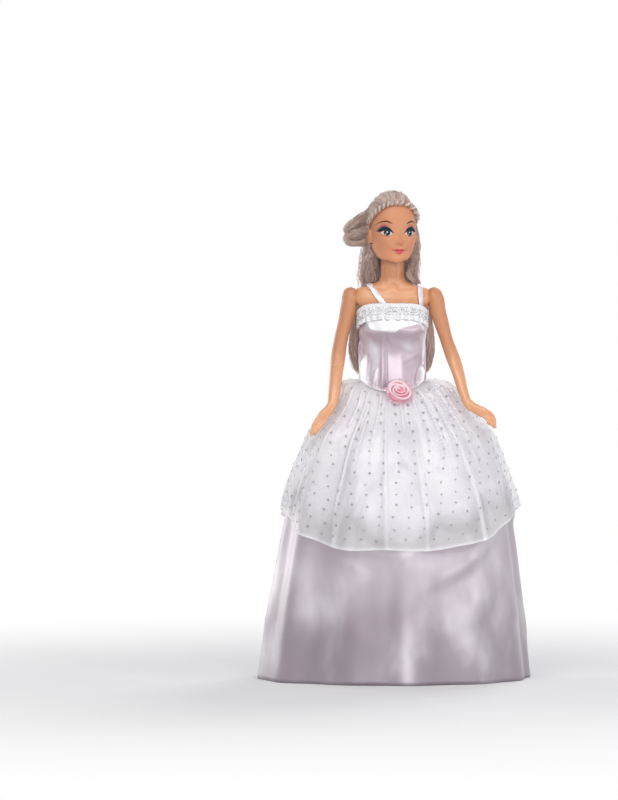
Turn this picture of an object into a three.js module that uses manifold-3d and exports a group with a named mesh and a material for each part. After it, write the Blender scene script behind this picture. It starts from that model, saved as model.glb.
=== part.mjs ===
// A fashion doll in a white ball gown. Millimetres, +Z up, the doll faces -Y.
// The origin lies on the floor, below the neck.

import * as THREE from 'three';
import { mergeVertices } from 'three/addons/utils/BufferGeometryUtils.js';
import Module from 'manifold-3d';

const wasm = await Module();
wasm.setup();

const TAU = Math.PI * 2;

// Clearances
const fitGap = 0.35;          // between solids that only touch
const turnGap = 0.4;          // round a piece that turns
const overrun = 60;           // how far a cutter runs past what it cuts

// Heights above the floor, each from the one below it
const hipHeight = 143;
const hipToWaist = 31;
const waistToBust = 37;
const bustToShoulder = 15;
const shoulderToNeck = 11;
const neckToJaw = 8.6;
const jawToEyes = 20;
const eyesToCrown = 23;
const hipToCrotch = 12.5;

const waistHeight = hipHeight + hipToWaist;
const bustHeight = waistHeight + waistToBust;
const shoulderHeight = bustHeight + bustToShoulder;
const neckHeight = shoulderHeight + shoulderToNeck;
const jawHeight = neckHeight + neckToJaw;
const eyeHeight = jawHeight + jawToEyes;
const crotchHeight = hipHeight - hipToCrotch;

// Body
const hipHalf = 21.5;
const waistHalf = 16;
const chestHalf = 18.6;
const shoulderHalf = 21.8;
const hipDepth = 12.5;
const waistDepth = 9.3;
const chestDepth = 11;
const shoulderDepth = 8.6;
const breastSize = 5.5;
const breastApart = 8.5;
const breastSpread = 6;
const neckRadius = 6.6;
const torsoWall = 1.5;

// Neck joint
const grooveRadius = 4.6;
const grooveLength = 3.2;
const knobRadius = 5.8;
const knobLength = 5;

// Head
const headTurn = THREE.MathUtils.degToRad(15);
const headHalf = 13.4;
const headFront = 14.2;
const headBack = 15.2;
const headBelow = 18.9;
const headForward = 1.2;
const headWall = 2.2;
const hairDepth = 2.8;
const twistRadius = 1.7;

// Arms
const armLength = 82;
const rightReach = 27.4;
const leftReach = 37.8;
const armForwardShare = 0.354;  // how far the hand comes forward for its drop
const upperArm = 5.2;
const pegRadius = 2.8;
const pegFlange = 3.9;
const pegFlangeThick = 1.2;
const fingerRadius = 0.8;

// Legs
const legApart = 12.4;
const legSplit = 4.6;
const hipDisc = 13;
const thighHalf = 8.4;
const rodRadius = 2.1;
const rodKnob = 3.8;
const rodReach = 12.6;
const rodKnobLength = 3.4;
const ankleHeight = 26;
const footLength = 25;
const footHalf = 4.4;
const heelLift = 16;
const ballHeight = 5.6;
const shoeWall = 1;
const heelHalf = 2.2;

// Gown
const clothThick = 0.6;
const sheerThick = 0.5;
const waistEase = 1.6;
const bodiceRise = 10;
const bodiceDip = 4.5;
const seamBow = 6.5;
const laceHeight = 8.2;
const laceScallop = 0.7;
const strapWidth = 3.2;
const strapThick = 0.5;
const strapInset = 6.9;
const placketWidth = 5;
const hemHalf = 80.5;
const hemDepth = 60;
const hemShift = -0.4;
const hemFold = 3.5;
const overHemSide = 102;
const overHemFront = 78;
const overStand = 2;
const overFold = 3.8;
const roseRadius = 6.2;
const roseDepth = 4.4;
const roseTurns = 2.6;
const roseSide = 0.16;        // turn from straight ahead toward the left hand
const petalThick = 0.75;
const frillRadius = 7.6;
const frillThick = 0.5;
const frillWave = 0.6;

// Long hair
const backHairLength = 76;
const backHairHalf = 25;
const backHairDepth = 3;
const lockLength = 23;
const flipReach = 16;
const flipHeight = 8.6;

// Facets
const bodySides = 20;
const limbSides = 12;
const discSides = 20;
const palmSides = 8;
const fingerSides = 6;
const clothSides = 28;
const skirtSides = 48;
const skirtRows = 9;
const headSides = 30;
const headRows = 23;
const hairSides = 24;
const hairRows = 15;
const twistSteps = 28;
const twistCount = 6;
const laceScallops = 16;
const roseSteps = 30;
const frillWaves = 9;

// Powers that make an oval squarer than an ellipse
const bodyPower = 2.3;
const headPower = 2.25;
const hairPower = 2.6;

// Curve through rows [place, value, value, ...], smooth and without overshoot at flats
function along(rows, place) {
  const last = rows.length - 1;
  const t = Math.min(Math.max(place, rows[0][0]), rows[last][0]);
  let i = 0;
  while (i < last - 1 && t > rows[i + 1][0]) i += 1;
  const [a, b] = [rows[i], rows[i + 1]];
  const span = b[0] - a[0];
  const s = (t - a[0]) / span;
  const slope = (j, k) => {
    if (j === 0) return (rows[1][k] - rows[0][k]) / (rows[1][0] - rows[0][0]);
    if (j === last) return (rows[last][k] - rows[last - 1][k]) / (rows[last][0] - rows[last - 1][0]);
    const before = (rows[j][k] - rows[j - 1][k]) / (rows[j][0] - rows[j - 1][0]);
    const after = (rows[j + 1][k] - rows[j][k]) / (rows[j + 1][0] - rows[j][0]);
    return before * after <= 0 ? 0 : (2 * before * after) / (before + after);
  };
  return a.slice(1).map((value, n) => {
    const k = n + 1;
    const h00 = 2 * s ** 3 - 3 * s ** 2 + 1;
    const h10 = s ** 3 - 2 * s ** 2 + s;
    const h01 = 3 * s ** 2 - 2 * s ** 3;
    const h11 = s ** 3 - s ** 2;
    return h00 * value + h10 * span * slope(i, k) + h01 * b[k] + h11 * span * slope(i + 1, k);
  });
}

const spread = (count) => Array.from({ length: count + 1 }, (_, i) => i / count);
const mix = (a, b, t) => a + (b - a) * t;

// Level ring of an oval that is flatter or squarer by its power; front is -Y
function ring({ x = 0, y = 0, z, half, front, back, power = 2, sides = bodySides }) {
  return Array.from({ length: sides }, (_, i) => {
    const turn = (i / sides) * TAU;
    const [c, s] = [Math.cos(turn), Math.sin(turn)];
    const bend = (v) => Math.sign(v) * Math.abs(v) ** (2 / power);
    return new THREE.Vector3(x + half * bend(c), y + (s < 0 ? front : back) * bend(s), z);
  });
}

function geometryFrom(points, faces) {
  const geometry = new THREE.BufferGeometry();
  const places = points.flatMap((p) => [p.x, p.y, p.z]);
  geometry.setAttribute('position', new THREE.Float32BufferAttribute(places, 3));
  let volume = 0;
  for (const [a, b, c] of faces) {
    volume += points[a].dot(new THREE.Vector3().crossVectors(points[b], points[c]));
  }
  geometry.setIndex(faces.flatMap(([a, b, c]) => (volume > 0 ? [a, b, c] : [a, c, b])));
  return geometry;
}

function quads(faces, from, to, sides) {
  for (let i = 0; i < sides; i += 1) {
    const j = (i + 1) % sides;
    faces.push([from + i, from + j, to + j], [from + i, to + j, to + i]);
  }
}

// Closed body through rings, with a fan over each end
function loft(rings) {
  const sides = rings[0].length;
  const points = rings.flat();
  const faces = [];
  rings.slice(1).forEach((_, r) => quads(faces, r * sides, (r + 1) * sides, sides));
  [[0, 1], [rings.length - 1, 0]].forEach(([r, flip]) => {
    const centre = rings[r].reduce((sum, p) => sum.add(p), new THREE.Vector3()).divideScalar(sides);
    points.push(centre);
    for (let i = 0; i < sides; i += 1) {
      const pair = [r * sides + i, r * sides + ((i + 1) % sides)];
      if (flip) pair.reverse();
      faces.push([points.length - 1, pair[0], pair[1]]);
    }
  });
  return geometryFrom(points, faces);
}

// Closed wall between two sets of rings, open at both ends
function wall(outer, inner) {
  const sides = outer[0].length;
  const rows = outer.length;
  const loop = [...outer, ...[...inner].reverse()];
  const points = loop.flat();
  const faces = [];
  for (let r = 0; r < 2 * rows; r += 1) {
    quads(faces, r * sides, ((r + 1) % (2 * rows)) * sides, sides);
  }
  return geometryFrom(points, faces);
}

// Tube along places [x, y, z] with rows of half widths across and through; across lies level or as given
function limb(places, sizes, across, sides = limbSides, steps = 10) {
  const curve = new THREE.CatmullRomCurve3(places, false, 'centripetal');
  const rings = spread(steps).map((t) => {
    const centre = curve.getPoint(t);
    const heading = curve.getTangent(t);
    const through = new THREE.Vector3().crossVectors(heading, across).normalize();
    const side = new THREE.Vector3().crossVectors(through, heading).normalize();
    const [wide, thick] = along(sizes, t);
    return Array.from({ length: sides }, (_, i) => {
      const turn = (i / sides) * TAU;
      return centre.clone()
        .addScaledVector(side, wide * Math.cos(turn))
        .addScaledVector(through, thick * Math.sin(turn));
    });
  });
  return loft(rings);
}

// Turned profile of [radius, height] points about an axis of the frame
function revolve(profile, axis, sides) {
  const geometry = new THREE.LatheGeometry(profile.map(([r, h]) => new THREE.Vector2(r, h)), sides);
  if (axis === 'z') geometry.rotateX(Math.PI / 2);
  if (axis === 'x') geometry.rotateZ(-Math.PI / 2);
  return geometry;
}

const manifoldOf = (points, faces) => new wasm.Manifold(new wasm.Mesh({
  numProp: 3,
  vertProperties: new Float32Array(points),
  triVerts: new Uint32Array(faces),
}));

// Solid from a closed geometry, turned inside out where its faces point in
function solid(geometry) {
  const bare = geometry.clone();
  bare.deleteAttribute('normal');
  bare.deleteAttribute('uv');
  const merged = mergeVertices(bare, fitGap / 1000);
  const kept = [];
  const index = merged.index.array;
  for (let i = 0; i < index.length; i += 3) {
    const [a, b, c] = index.slice(i, i + 3);
    if (a !== b && b !== c && a !== c) kept.push(a, b, c);
  }
  const points = merged.attributes.position.array;
  const made = manifoldOf(points, kept);
  if (made.volume() >= 0) return made;
  for (let i = 0; i < kept.length; i += 3) [kept[i + 1], kept[i + 2]] = [kept[i + 2], kept[i + 1]];
  return manifoldOf(points, kept);
}

// Mesh geometry of a solid
function shapeOf(made) {
  const { vertProperties, triVerts } = made.getMesh();
  const geometry = new THREE.BufferGeometry();
  geometry.setAttribute('position', new THREE.Float32BufferAttribute(vertProperties, 3));
  geometry.setIndex(new THREE.Uint32BufferAttribute(triVerts, 1));
  return geometry;
}

function block(low, high) {
  const size = new THREE.Vector3().subVectors(high, low);
  const geometry = new THREE.BoxGeometry(size.x, size.y, size.z);
  const middle = new THREE.Vector3().addVectors(low, high).multiplyScalar(0.5);
  return solid(geometry.translate(middle.x, middle.y, middle.z));
}

const far = hipHeight + overrun;
const at = (x, y, z) => new THREE.Vector3(x, y, z);

const plate = (shape, depth) => new THREE.ExtrudeGeometry(shape, {
  depth, bevelEnabled: false, curveSegments: limbSides,
});

// Flat outline in the X and Z directions, run through from y = near to y = away
function frontCut(outline, near, away) {
  const geometry = plate(new THREE.Shape(outline.map(([x, z]) => new THREE.Vector2(x, z))), away - near);
  return solid(geometry.rotateX(Math.PI / 2).translate(0, away, 0));
}

// Flat outline in the Y and Z directions, run from x = low to x = high
function sideCut(shape, low, high) {
  const geometry = plate(shape, high - low);
  geometry.rotateX(Math.PI / 2).rotateZ(Math.PI / 2);
  return solid(geometry.translate(low, 0, 0));
}

// Body sections: height, half width, depth in front, depth behind
const sections = [
  [crotchHeight, legSplit, hipDepth * 0.4, hipDepth * 0.45],
  [mix(crotchHeight, hipHeight, 0.35), hipHalf * 0.72, hipDepth * 0.78, hipDepth * 0.9],
  [hipHeight, hipHalf, hipDepth * 0.92, hipDepth * 1.06],
  [mix(hipHeight, waistHeight, 0.45), hipHalf * 0.93, hipDepth * 0.86, hipDepth * 0.9],
  [waistHeight, waistHalf, waistDepth, waistDepth],
  [mix(waistHeight, bustHeight, 0.5), waistHalf * 1.06, mix(waistDepth, chestDepth, 0.5), chestDepth * 0.92],
  [bustHeight, chestHalf, chestDepth, chestDepth],
  [mix(bustHeight, shoulderHeight, 0.55), chestHalf * 1.04, chestDepth * 0.9, chestDepth * 0.95],
  [shoulderHeight, shoulderHalf * 1.1, shoulderDepth, shoulderDepth * 1.05],
  [mix(shoulderHeight, neckHeight, 0.52), shoulderHalf * 0.99, shoulderDepth * 0.78, shoulderDepth * 0.9],
  [mix(shoulderHeight, neckHeight, 0.76), neckRadius * 2, neckRadius * 1.02, neckRadius * 1.05],
  [neckHeight, neckRadius * 1.22, neckRadius * 1.04, neckRadius * 1.04],
  [mix(neckHeight, jawHeight, 0.4), neckRadius * 1.01, neckRadius, neckRadius],
  [jawHeight, neckRadius, neckRadius, neckRadius],
];
const levelShares = [0.5, 1];

// One point of the body's skin, moved out by grow, with the breasts pushed forward
function bodyRing(height, grow, sides = bodySides) {
  const [half, front, back] = along(sections, height);
  const points = ring({
    z: height, half: half + grow, front: front + grow, back: back + grow, power: bodyPower, sides,
  });
  const push = (p) => {
    if (p.y >= 0) return p;
    const lift = (side) => {
      const dx = (p.x - side * breastApart) / breastSpread;
      const dz = (p.z - bustHeight) / breastSpread;
      return breastSize * Math.exp(-(dx * dx + dz * dz));
    };
    const share = Math.min(1, -p.y / (front * 0.5));
    return p.setY(p.y - share * (lift(1) + lift(-1)));
  };
  return points.map(push);
}

// Heights where the body has a ring: some between each two sections
const bodyLevels = (low, high) => {
  const between = sections.slice(1)
    .flatMap((row, i) => levelShares.map((share) => mix(sections[i][0], row[0], share)));
  return [low, ...between.filter((h) => h > low && h < high), high];
};

function bodySolid(grow, low = crotchHeight, high = jawHeight, sides = bodySides) {
  return solid(loft(bodyLevels(low, high).map((h) => bodyRing(h, grow, sides))));
}

// Where the legs turn: a round opening over the hip, carried down and away in front and behind
function legOpening(side) {
  const reach = hipDisc + turnGap + fitGap;
  const shape = new THREE.Shape();
  shape.moveTo(-reach - overrun, crotchHeight - overrun);
  shape.lineTo(-reach - overrun, hipHeight + reach * 0.86);
  shape.lineTo(-reach * 0.5, hipHeight + reach * 0.866);
  shape.absarc(0, hipHeight, reach, TAU / 3, 0, true);
  shape.lineTo(reach + overrun, hipHeight - overrun);
  shape.lineTo(reach + overrun, crotchHeight - overrun);
  shape.closePath();
  const ends = [side * (legSplit - turnGap), side * far].sort((a, b) => a - b);
  return sideCut(shape, ends[0], ends[1]);
}

function neckKnob(grow) {
  const top = jawHeight + grooveLength;
  const profile = [
    [0, jawHeight - grooveLength],
    [grooveRadius + grow, jawHeight - grooveLength],
    [grooveRadius + grow, top - grow],
    [knobRadius + grow, top - grow],
    [knobRadius + grow, top + knobLength * 0.55],
    [knobRadius * 0.72 + grow, top + knobLength + grow],
    [0, top + knobLength + grow],
  ];
  return solid(revolve(profile, 'z', limbSides));
}

// Hole for an arm's peg, with a pocket behind it for the peg's flange
function pegHole(side) {
  const behind = -torsoWall - 2 * turnGap - pegFlangeThick;
  const hole = revolve([
    [0, behind],
    [pegFlange + turnGap, behind],
    [pegFlange + turnGap, -torsoWall],
    [pegRadius + turnGap, -torsoWall],
    [pegRadius + turnGap, torsoWall],
    [0, torsoWall],
  ], 'x', limbSides);
  hole.rotateZ(side > 0 ? 0 : Math.PI);
  return solid(hole.translate(side * shoulderHalf, 0, shoulderHeight));
}

// Two moulded halves of the body, split at y = 0, hollow, with holes for arms and hip rod
function torsoHalves() {
  const hollowLow = hipHeight + hipDisc + turnGap + fitGap + torsoWall;
  const reach = shoulderHalf - torsoWall;
  const hollow = bodySolid(-torsoWall * 1.15, hollowLow, neckHeight - torsoWall, limbSides)
    .intersect(block(at(-reach, -far, 0), at(reach, far, far + far)));
  const rodHoleRadius = rodRadius + turnGap;
  const rodHole = revolve([[0, -far], [rodHoleRadius, -far], [rodHoleRadius, far], [0, far]], 'x', limbSides);
  let body = bodySolid(0).add(neckKnob(0)).subtract(hollow);
  body = body.subtract(solid(rodHole.translate(0, 0, hipHeight)));
  [-1, 1].forEach((side) => {
    const ends = [side * shoulderHalf, side * far].sort((a, b) => a - b);
    body = body.subtract(block(at(ends[0], -far, bustHeight), at(ends[1], far, neckHeight)));
    body = body.subtract(legOpening(side)).subtract(pegHole(side));
  });
  const front = body.intersect(block(at(-far, -far, 0), at(far, 0, 2 * far)));
  const back = body.intersect(block(at(-far, 0, 0), at(far, far, 2 * far)));
  return [front, back];
}

// Arms: share of the way down, share of the reach out, share of the way forward, width and depth shares
const armShares = {
  right: [
    [-0.083, 0.1, 0, 0.12, 0.12],
    [-0.07, 0.1, 0, 0.62, 0.62],
    [-0.035, 0.1, 0, 0.92, 1.0],
    [0.0, 0.1, 0, 1.02, 1.14],
    [0.07, 0.14, 0.01, 0.98, 1.08],
    [0.16, 0.2, 0.03, 0.9, 0.98],
    [0.3, 0.315, 0.1, 0.79, 0.86],
    [0.43, 0.375, 0.22, 0.83, 0.82],
    [0.55, 0.42, 0.42, 0.76, 0.74],
    [0.68, 0.46, 0.62, 0.7, 0.62],
    [0.775, 0.5, 0.74, 0.56, 0.5],
  ],
  left: [
    [-0.083, 0.07, 0, 0.12, 0.12],
    [-0.07, 0.07, 0, 0.62, 0.62],
    [-0.035, 0.075, 0, 0.92, 1.0],
    [0.0, 0.09, 0, 1.02, 1.14],
    [0.07, 0.115, 0.01, 0.98, 1.08],
    [0.16, 0.17, 0.03, 0.9, 0.98],
    [0.3, 0.262, 0.1, 0.76, 0.86],
    [0.43, 0.36, 0.2, 0.83, 0.82],
    [0.55, 0.44, 0.38, 0.72, 0.74],
    [0.68, 0.51, 0.56, 0.6, 0.6],
    [0.775, 0.585, 0.68, 0.54, 0.5],
  ],
};
// Hand: the middle of wrist, palm, knuckles and fingertips in the same shares
const handShares = {
  right: [[0.74, 0.485, 0.7], [0.8, 0.56, 0.78], [0.875, 0.74, 0.88], [1, 1, 1]],
  left: [[0.745, 0.565, 0.64], [0.79, 0.66, 0.73], [0.84, 0.87, 0.84], [0.95, 1, 0.97]],
};
const fingerShares = [[-1.5, 0.86], [-0.5, 0.97], [0.5, 1], [1.5, 0.92]];
// Thumb: share of the way down the hand, and place across as a share of a finger's radius
const thumbShares = [[0.2, 1], [0.45, 3.6], [0.62, 4.4]];

function armPlace(side, reach, [down, out, forward]) {
  const x = side * (shoulderHalf + turnGap + reach * out);
  return at(x, -armLength * armForwardShare * forward, shoulderHeight - armLength * down);
}

// Sizes of a round finger: where it starts to close, how wide it is there, and at its tip
const taper = (closing, share, tipShare) => [
  [0, fingerRadius, fingerRadius],
  [closing, fingerRadius * share, fingerRadius * share],
  [1, fingerRadius * tipShare, fingerRadius * tipShare],
];

function hand(side, name, reach) {
  const places = handShares[name].map((row) => armPlace(side, reach, row));
  const curve = new THREE.CatmullRomCurve3(places, false, 'centripetal');
  const heading = new THREE.Vector3().subVectors(places[3], places[1]).normalize();
  const through = at(0, 1, 0).addScaledVector(heading, -heading.y).normalize();
  const across = new THREE.Vector3().crossVectors(heading, through).normalize();
  const palmSizes = [
    [0, upperArm * 0.5, upperArm * 0.46],
    [0.35, fingerRadius * 3.3, fingerRadius * 2.1],
    [0.75, fingerRadius * 3.7, fingerRadius * 1.5],
    [1, fingerRadius * 2.9, fingerRadius],
  ];
  let made = solid(limb(places.slice(0, 3), palmSizes, across, palmSides, 4));
  fingerShares.forEach(([place, length]) => {
    const offset = (t, gap) => curve.getPoint(t).addScaledVector(across, place * fingerRadius * gap);
    const stations = [offset(0.5, 1.5), offset(mix(0.5, length, 0.55), 1.75), offset(length, 1.35)];
    made = made.add(solid(limb(stations, taper(0.8, 0.86, 0.4), across, fingerSides, 4)));
  });
  const thumb = (t, gap) => curve.getPoint(t)
    .addScaledVector(across, -gap * fingerRadius)
    .addScaledVector(through, fingerRadius);
  const stations = thumbShares.map(([t, gap]) => thumb(t, gap));
  return made.add(solid(limb(stations, taper(0.75, 1, 0.5), across, fingerSides, 4)));
}

function arm(side, name, reach) {
  const rings = armShares[name].map((row) => {
    const place = armPlace(side, reach, row);
    const [half, deep] = [upperArm * row[3], upperArm * row[4]];
    return ring({ x: place.x, y: place.y, z: place.z, half, front: deep, back: deep, sides: limbSides });
  });
  const face = shoulderHalf + turnGap;
  const flange = -2 * turnGap - torsoWall;
  const peg = revolve([
    [0, flange - pegFlangeThick],
    [pegFlange * 0.8, flange - pegFlangeThick],
    [pegFlange, flange - pegFlangeThick * 0.6],
    [pegFlange, flange],
    [pegRadius, flange],
    [pegRadius, upperArm],
    [0, upperArm],
  ], 'x', limbSides);
  peg.rotateZ(side > 0 ? 0 : Math.PI).translate(side * face, 0, shoulderHeight);
  const ends = [side * face, -side * far].sort((a, b) => a - b);
  const limbOnly = solid(loft(rings)).add(hand(side, name, reach));
  return limbOnly.subtract(block(at(ends[0], -far, 0), at(ends[1], far, 2 * far))).add(solid(peg));
}

// Legs: share of the way from hip to ankle, place across as a share of the gap between legs,
// half width, front and back as shares of the thigh
const legShares = [
  [0, 1, 0.95, 1.15, 1.25],
  [0.13, 0.97, 1.08, 1.15, 1.25],
  [0.28, 0.89, 1.02, 1.06, 1.1],
  [0.45, 0.79, 0.85, 0.9, 0.93],
  [0.59, 0.7, 0.72, 0.8, 0.72],
  [0.73, 0.66, 0.7, 0.62, 0.88],
  [0.88, 0.62, 0.5, 0.46, 0.62],
  [1, 0.6, 0.38, 0.4, 0.46],
];

function footPlaces(side, grow = 0) {
  const x = side * legApart * 0.6;
  return [
    at(x, footLength * 0.2 + grow, heelLift + ballHeight * 0.25),
    at(x, -footLength * 0.05, heelLift),
    at(x, -footLength * 0.45, ballHeight * 1.1),
    at(x, -footLength * 0.8 - grow, ballHeight * 0.62),
  ];
}

function foot(side, grow) {
  const sizes = [
    [0, footHalf * 0.45 + grow, footHalf * 0.45 + grow],
    [0.25, footHalf * 0.72 + grow, footHalf * 0.72 + grow],
    [0.65, footHalf + grow, footHalf * 0.62 + grow],
    [0.88, footHalf * 0.95 + grow, footHalf * 0.45 + grow],
    [1, footHalf * 0.55 + grow, footHalf * 0.25 + grow],
  ];
  return solid(limb(footPlaces(side, grow), sizes, at(1, 0, 0), 10, 7));
}

function shank(side, grow) {
  const rings = legShares.map(([down, out, half, front, back]) => ring({
    x: side * legApart * out,
    z: mix(hipHeight, ankleHeight, down),
    half: thighHalf * half + grow,
    front: thighHalf * front + grow,
    back: thighHalf * back + grow,
    sides: limbSides,
  }));
  const x = side * legApart * 0.6;
  rings.push(ring({
    x, y: footLength * 0.04, z: heelLift + ballHeight * 0.3, half: thighHalf * 0.36 + grow,
    front: thighHalf * 0.42 + grow, back: thighHalf * 0.5 + grow, sides: limbSides,
  }));
  return solid(loft(rings));
}

function rodProfile(grow) {
  const knobStart = rodReach - rodKnobLength;
  return [
    [0, -rodReach - grow],
    [rodKnob * 0.7 + grow, -rodReach - grow],
    [rodKnob + grow, -rodReach + rodKnobLength * 0.3],
    [rodKnob + grow, -knobStart + grow],
    [rodRadius + grow, -knobStart + grow],
    [rodRadius + grow, knobStart - grow],
    [rodKnob + grow, knobStart - grow],
    [rodKnob + grow, rodReach - rodKnobLength * 0.3],
    [rodKnob * 0.7 + grow, rodReach + grow],
    [0, rodReach + grow],
  ];
}

function leg(side) {
  const outer = hipHalf - fitGap;
  const round = revolve([
    [0, legSplit],
    [hipDisc * 0.94, legSplit],
    [hipDisc, legSplit + hipDisc * 0.06],
    [hipDisc, outer - hipDisc * 0.45],
    [hipDisc * 0.93, outer - hipDisc * 0.2],
    [hipDisc * 0.75, outer - hipDisc * 0.06],
    [hipDisc * 0.5, outer],
    [0, outer],
  ], 'x', discSides);
  round.rotateZ(side > 0 ? 0 : Math.PI).translate(0, 0, hipHeight);
  const socket = revolve(rodProfile(turnGap), 'x', limbSides).translate(0, 0, hipHeight);
  const nearSide = [-side * far, side * legSplit].sort((a, b) => a - b);
  const thigh = shank(side, 0).subtract(block(at(nearSide[0], -far, 0), at(nearSide[1], far, 2 * far)));
  return thigh.add(solid(round)).add(foot(side, 0)).subtract(solid(socket));
}

// A court shoe: sole with a heel, and a low upper round the toes and heel
function shoe(side) {
  const x = side * legApart * 0.6;
  const [toe, heel] = [-footLength * 0.86, footLength * 0.3];
  const profile = new THREE.Shape();
  profile.moveTo(toe, 0);
  profile.lineTo(-footLength * 0.38, 0);
  profile.quadraticCurveTo(-footLength * 0.12, heelLift * 0.2, heel - heelHalf * 2.6, heelLift * 0.62);
  profile.lineTo(heel - heelHalf * 1.6, 0);
  profile.lineTo(heel - heelHalf * 0.5, 0);
  profile.lineTo(heel, heelLift * 0.95);
  profile.lineTo(-footLength * 0.05, heelLift * 0.95);
  profile.lineTo(-footLength * 0.45, ballHeight);
  profile.lineTo(toe, ballHeight * 0.6);
  profile.closePath();
  const reach = footHalf + fitGap + shoeWall;
  const sole = sideCut(profile, x - reach, x + reach).intersect(solid(limb(
    footPlaces(side).map((p) => p.setZ(0)),
    [
      [0, footHalf * 0.8, far], [0.3, footHalf * 0.85, far], [0.65, reach, far],
      [0.9, reach * 0.94, far], [1, reach * 0.6, far],
    ],
    at(1, 0, 0), limbSides, 6,
  )));
  const slant = new THREE.Shape();
  slant.moveTo(-footLength, 0);
  slant.lineTo(-footLength, ballHeight * 1.55);
  slant.lineTo(-footLength * 0.5, ballHeight * 1.45);
  slant.lineTo(footLength * 0.02, heelLift * 0.8);
  slant.lineTo(footLength, heelLift * 1.25);
  slant.lineTo(footLength, 0);
  slant.closePath();
  const upper = foot(side, fitGap + shoeWall).intersect(sideCut(slant, x - far, x + far));
  const inside = foot(side, fitGap).add(shank(side, fitGap));
  return sole.add(upper).intersect(block(at(-far, -far, 0), at(far, far, far))).subtract(inside);
}

// Head, in its own frame before it turns: middle at the origin's axis, features as bumps in
// the direction of a place: [x, y, z as shares, rise share, spread across, spread up]
const headMiddle = at(0, -headForward, eyeHeight);
const chinShares = [[0, -0.66, -1.0, 0.145, 0.24, 0.2], [0, -0.86, -0.97, 0.02, 0.16, 0.1]];
const faceShares = [
  ...chinShares,
  [0.62, -0.3, -0.8, 0.05, 0.26, 0.24],
  [-0.62, -0.3, -0.8, 0.05, 0.26, 0.24],
  [0, -1, -0.33, 0.15, 0.085, 0.08],
  [0, -1, -0.1, 0.05, 0.07, 0.16],
  [0.5, -1, 0.0, -0.06, 0.17, 0.12],
  [-0.5, -1, 0.0, -0.06, 0.17, 0.12],
  [0, -1, -0.62, 0.055, 0.16, 0.065],
  [0.52, -0.85, -0.37, 0.045, 0.24, 0.2],
  [-0.52, -0.85, -0.37, 0.045, 0.24, 0.2],
  [1, 0.12, -0.18, 0.12, 0.09, 0.16],
  [-1, 0.12, -0.18, 0.12, 0.09, 0.16],
];

function headRadius(direction, grow) {
  const [dx, dy, dz] = [direction.x, direction.y, direction.z];
  const deep = dy < 0 ? headFront : headBack;
  const tall = dz < 0 ? headBelow : eyesToCrown - hairDepth * 0.4;
  const oval = [dx / headHalf, dy / deep, dz / tall]
    .reduce((sum, share) => sum + Math.abs(share) ** headPower, 0) ** (-1 / headPower);
  let bumps = 0;
  faceShares.forEach(([x, y, z, rise, wide, tallSpread]) => {
    const target = at(x * headHalf, y * headFront, z * headBelow).normalize();
    const across = new THREE.Vector3().crossVectors(at(0, 0, 1), target).normalize();
    const up = new THREE.Vector3().crossVectors(target, across);
    if (direction.dot(target) <= 0) return;
    const a = direction.dot(across) / wide;
    const b = direction.dot(up) / tallSpread;
    bumps += rise * headHalf * Math.exp(-a * a - b * b);
  });
  return oval + bumps + grow;
}

// Ball whose radius depends on the direction, with more facets in front
function globe(radiusOf, sides, rows, crowd) {
  const rings = spread(rows).slice(1, -1).map((v) => Array.from({ length: sides }, (_, i) => {
    const turn = (i / sides) * TAU;
    const around = turn + crowd * Math.sin(turn) - Math.PI / 2;
    const [out, up] = [Math.sin(Math.PI * v), -Math.cos(Math.PI * v)];
    const direction = at(out * Math.cos(around), out * Math.sin(around), up);
    return direction.clone().multiplyScalar(radiusOf(direction)).add(headMiddle);
  }));
  return solid(loft(rings));
}

const headSkin = (grow, sides = headSides, rows = headRows) => globe(
  (d) => headRadius(d, grow), sides, rows, -0.55,
);

function headSolid() {
  const inside = globe((d) => (headRadius(d, 0) + headHalf) / 2 - headWall, limbSides, palmSides, 0);
  return headSkin(0)
    .subtract(inside)
    .subtract(neckKnob(turnGap))
    .subtract(bodySolid(turnGap, shoulderHeight));
}

// The arch of the hairline, seen from the front, and the twist that lies on it
const archShares = [
  [-1.0, -0.15, 0.14], [-0.97, -0.34, 0.36], [-0.78, -0.62, 0.58], [-0.42, -0.83, 0.74],
  [0, -0.9, 0.79], [0.42, -0.83, 0.74], [0.78, -0.62, 0.58], [0.97, -0.34, 0.36], [1.0, -0.15, 0.14],
];

function onHead([x, y, z], lift) {
  const tall = z < 0 ? headBelow : eyesToCrown;
  const direction = at(x * headHalf, y * headFront, z * tall).normalize();
  return direction.clone().multiplyScalar(headRadius(direction, lift)).add(headMiddle);
}

function twistTube(radius, lobes) {
  const places = archShares.map((row) => onHead(row, fitGap + twistRadius * 0.75));
  const curve = new THREE.CatmullRomCurve3(places, false, 'centripetal');
  const rings = spread(twistSteps).map((t) => {
    const centre = curve.getPointAt(t);
    const heading = curve.getTangentAt(t);
    const out = new THREE.Vector3().subVectors(centre, headMiddle).normalize();
    const side = new THREE.Vector3().crossVectors(heading, out).normalize();
    const up = new THREE.Vector3().crossVectors(side, heading);
    const ends = Math.min(1, 0.55 + 3 * Math.min(t, 1 - t));
    return Array.from({ length: palmSides }, (_, i) => {
      const turn = (i / palmSides) * TAU;
      const r = radius * ends * (1 + lobes * Math.cos(2 * turn - twistCount * TAU * t));
      return centre.clone().addScaledVector(side, r * Math.cos(turn)).addScaledVector(up, r * Math.sin(turn));
    });
  });
  return solid(loft(rings));
}

const frontTwist = () => twistTube(twistRadius * 0.88, 0.14).subtract(headSkin(fitGap));

// Thickness of the combed hair: fuller at the crown's back and over the nape
function hairRadius(direction, grow) {
  const full = 1 + 0.25 * Math.max(0, direction.y) + 0.1 * Math.max(0, -direction.z);
  const wave = 0.06 * Math.cos(14 * Math.atan2(direction.x, direction.z)) * Math.max(0, direction.y + 0.3);
  return headRadius(direction, 0) + hairDepth * (full + wave) + grow;
}

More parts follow.
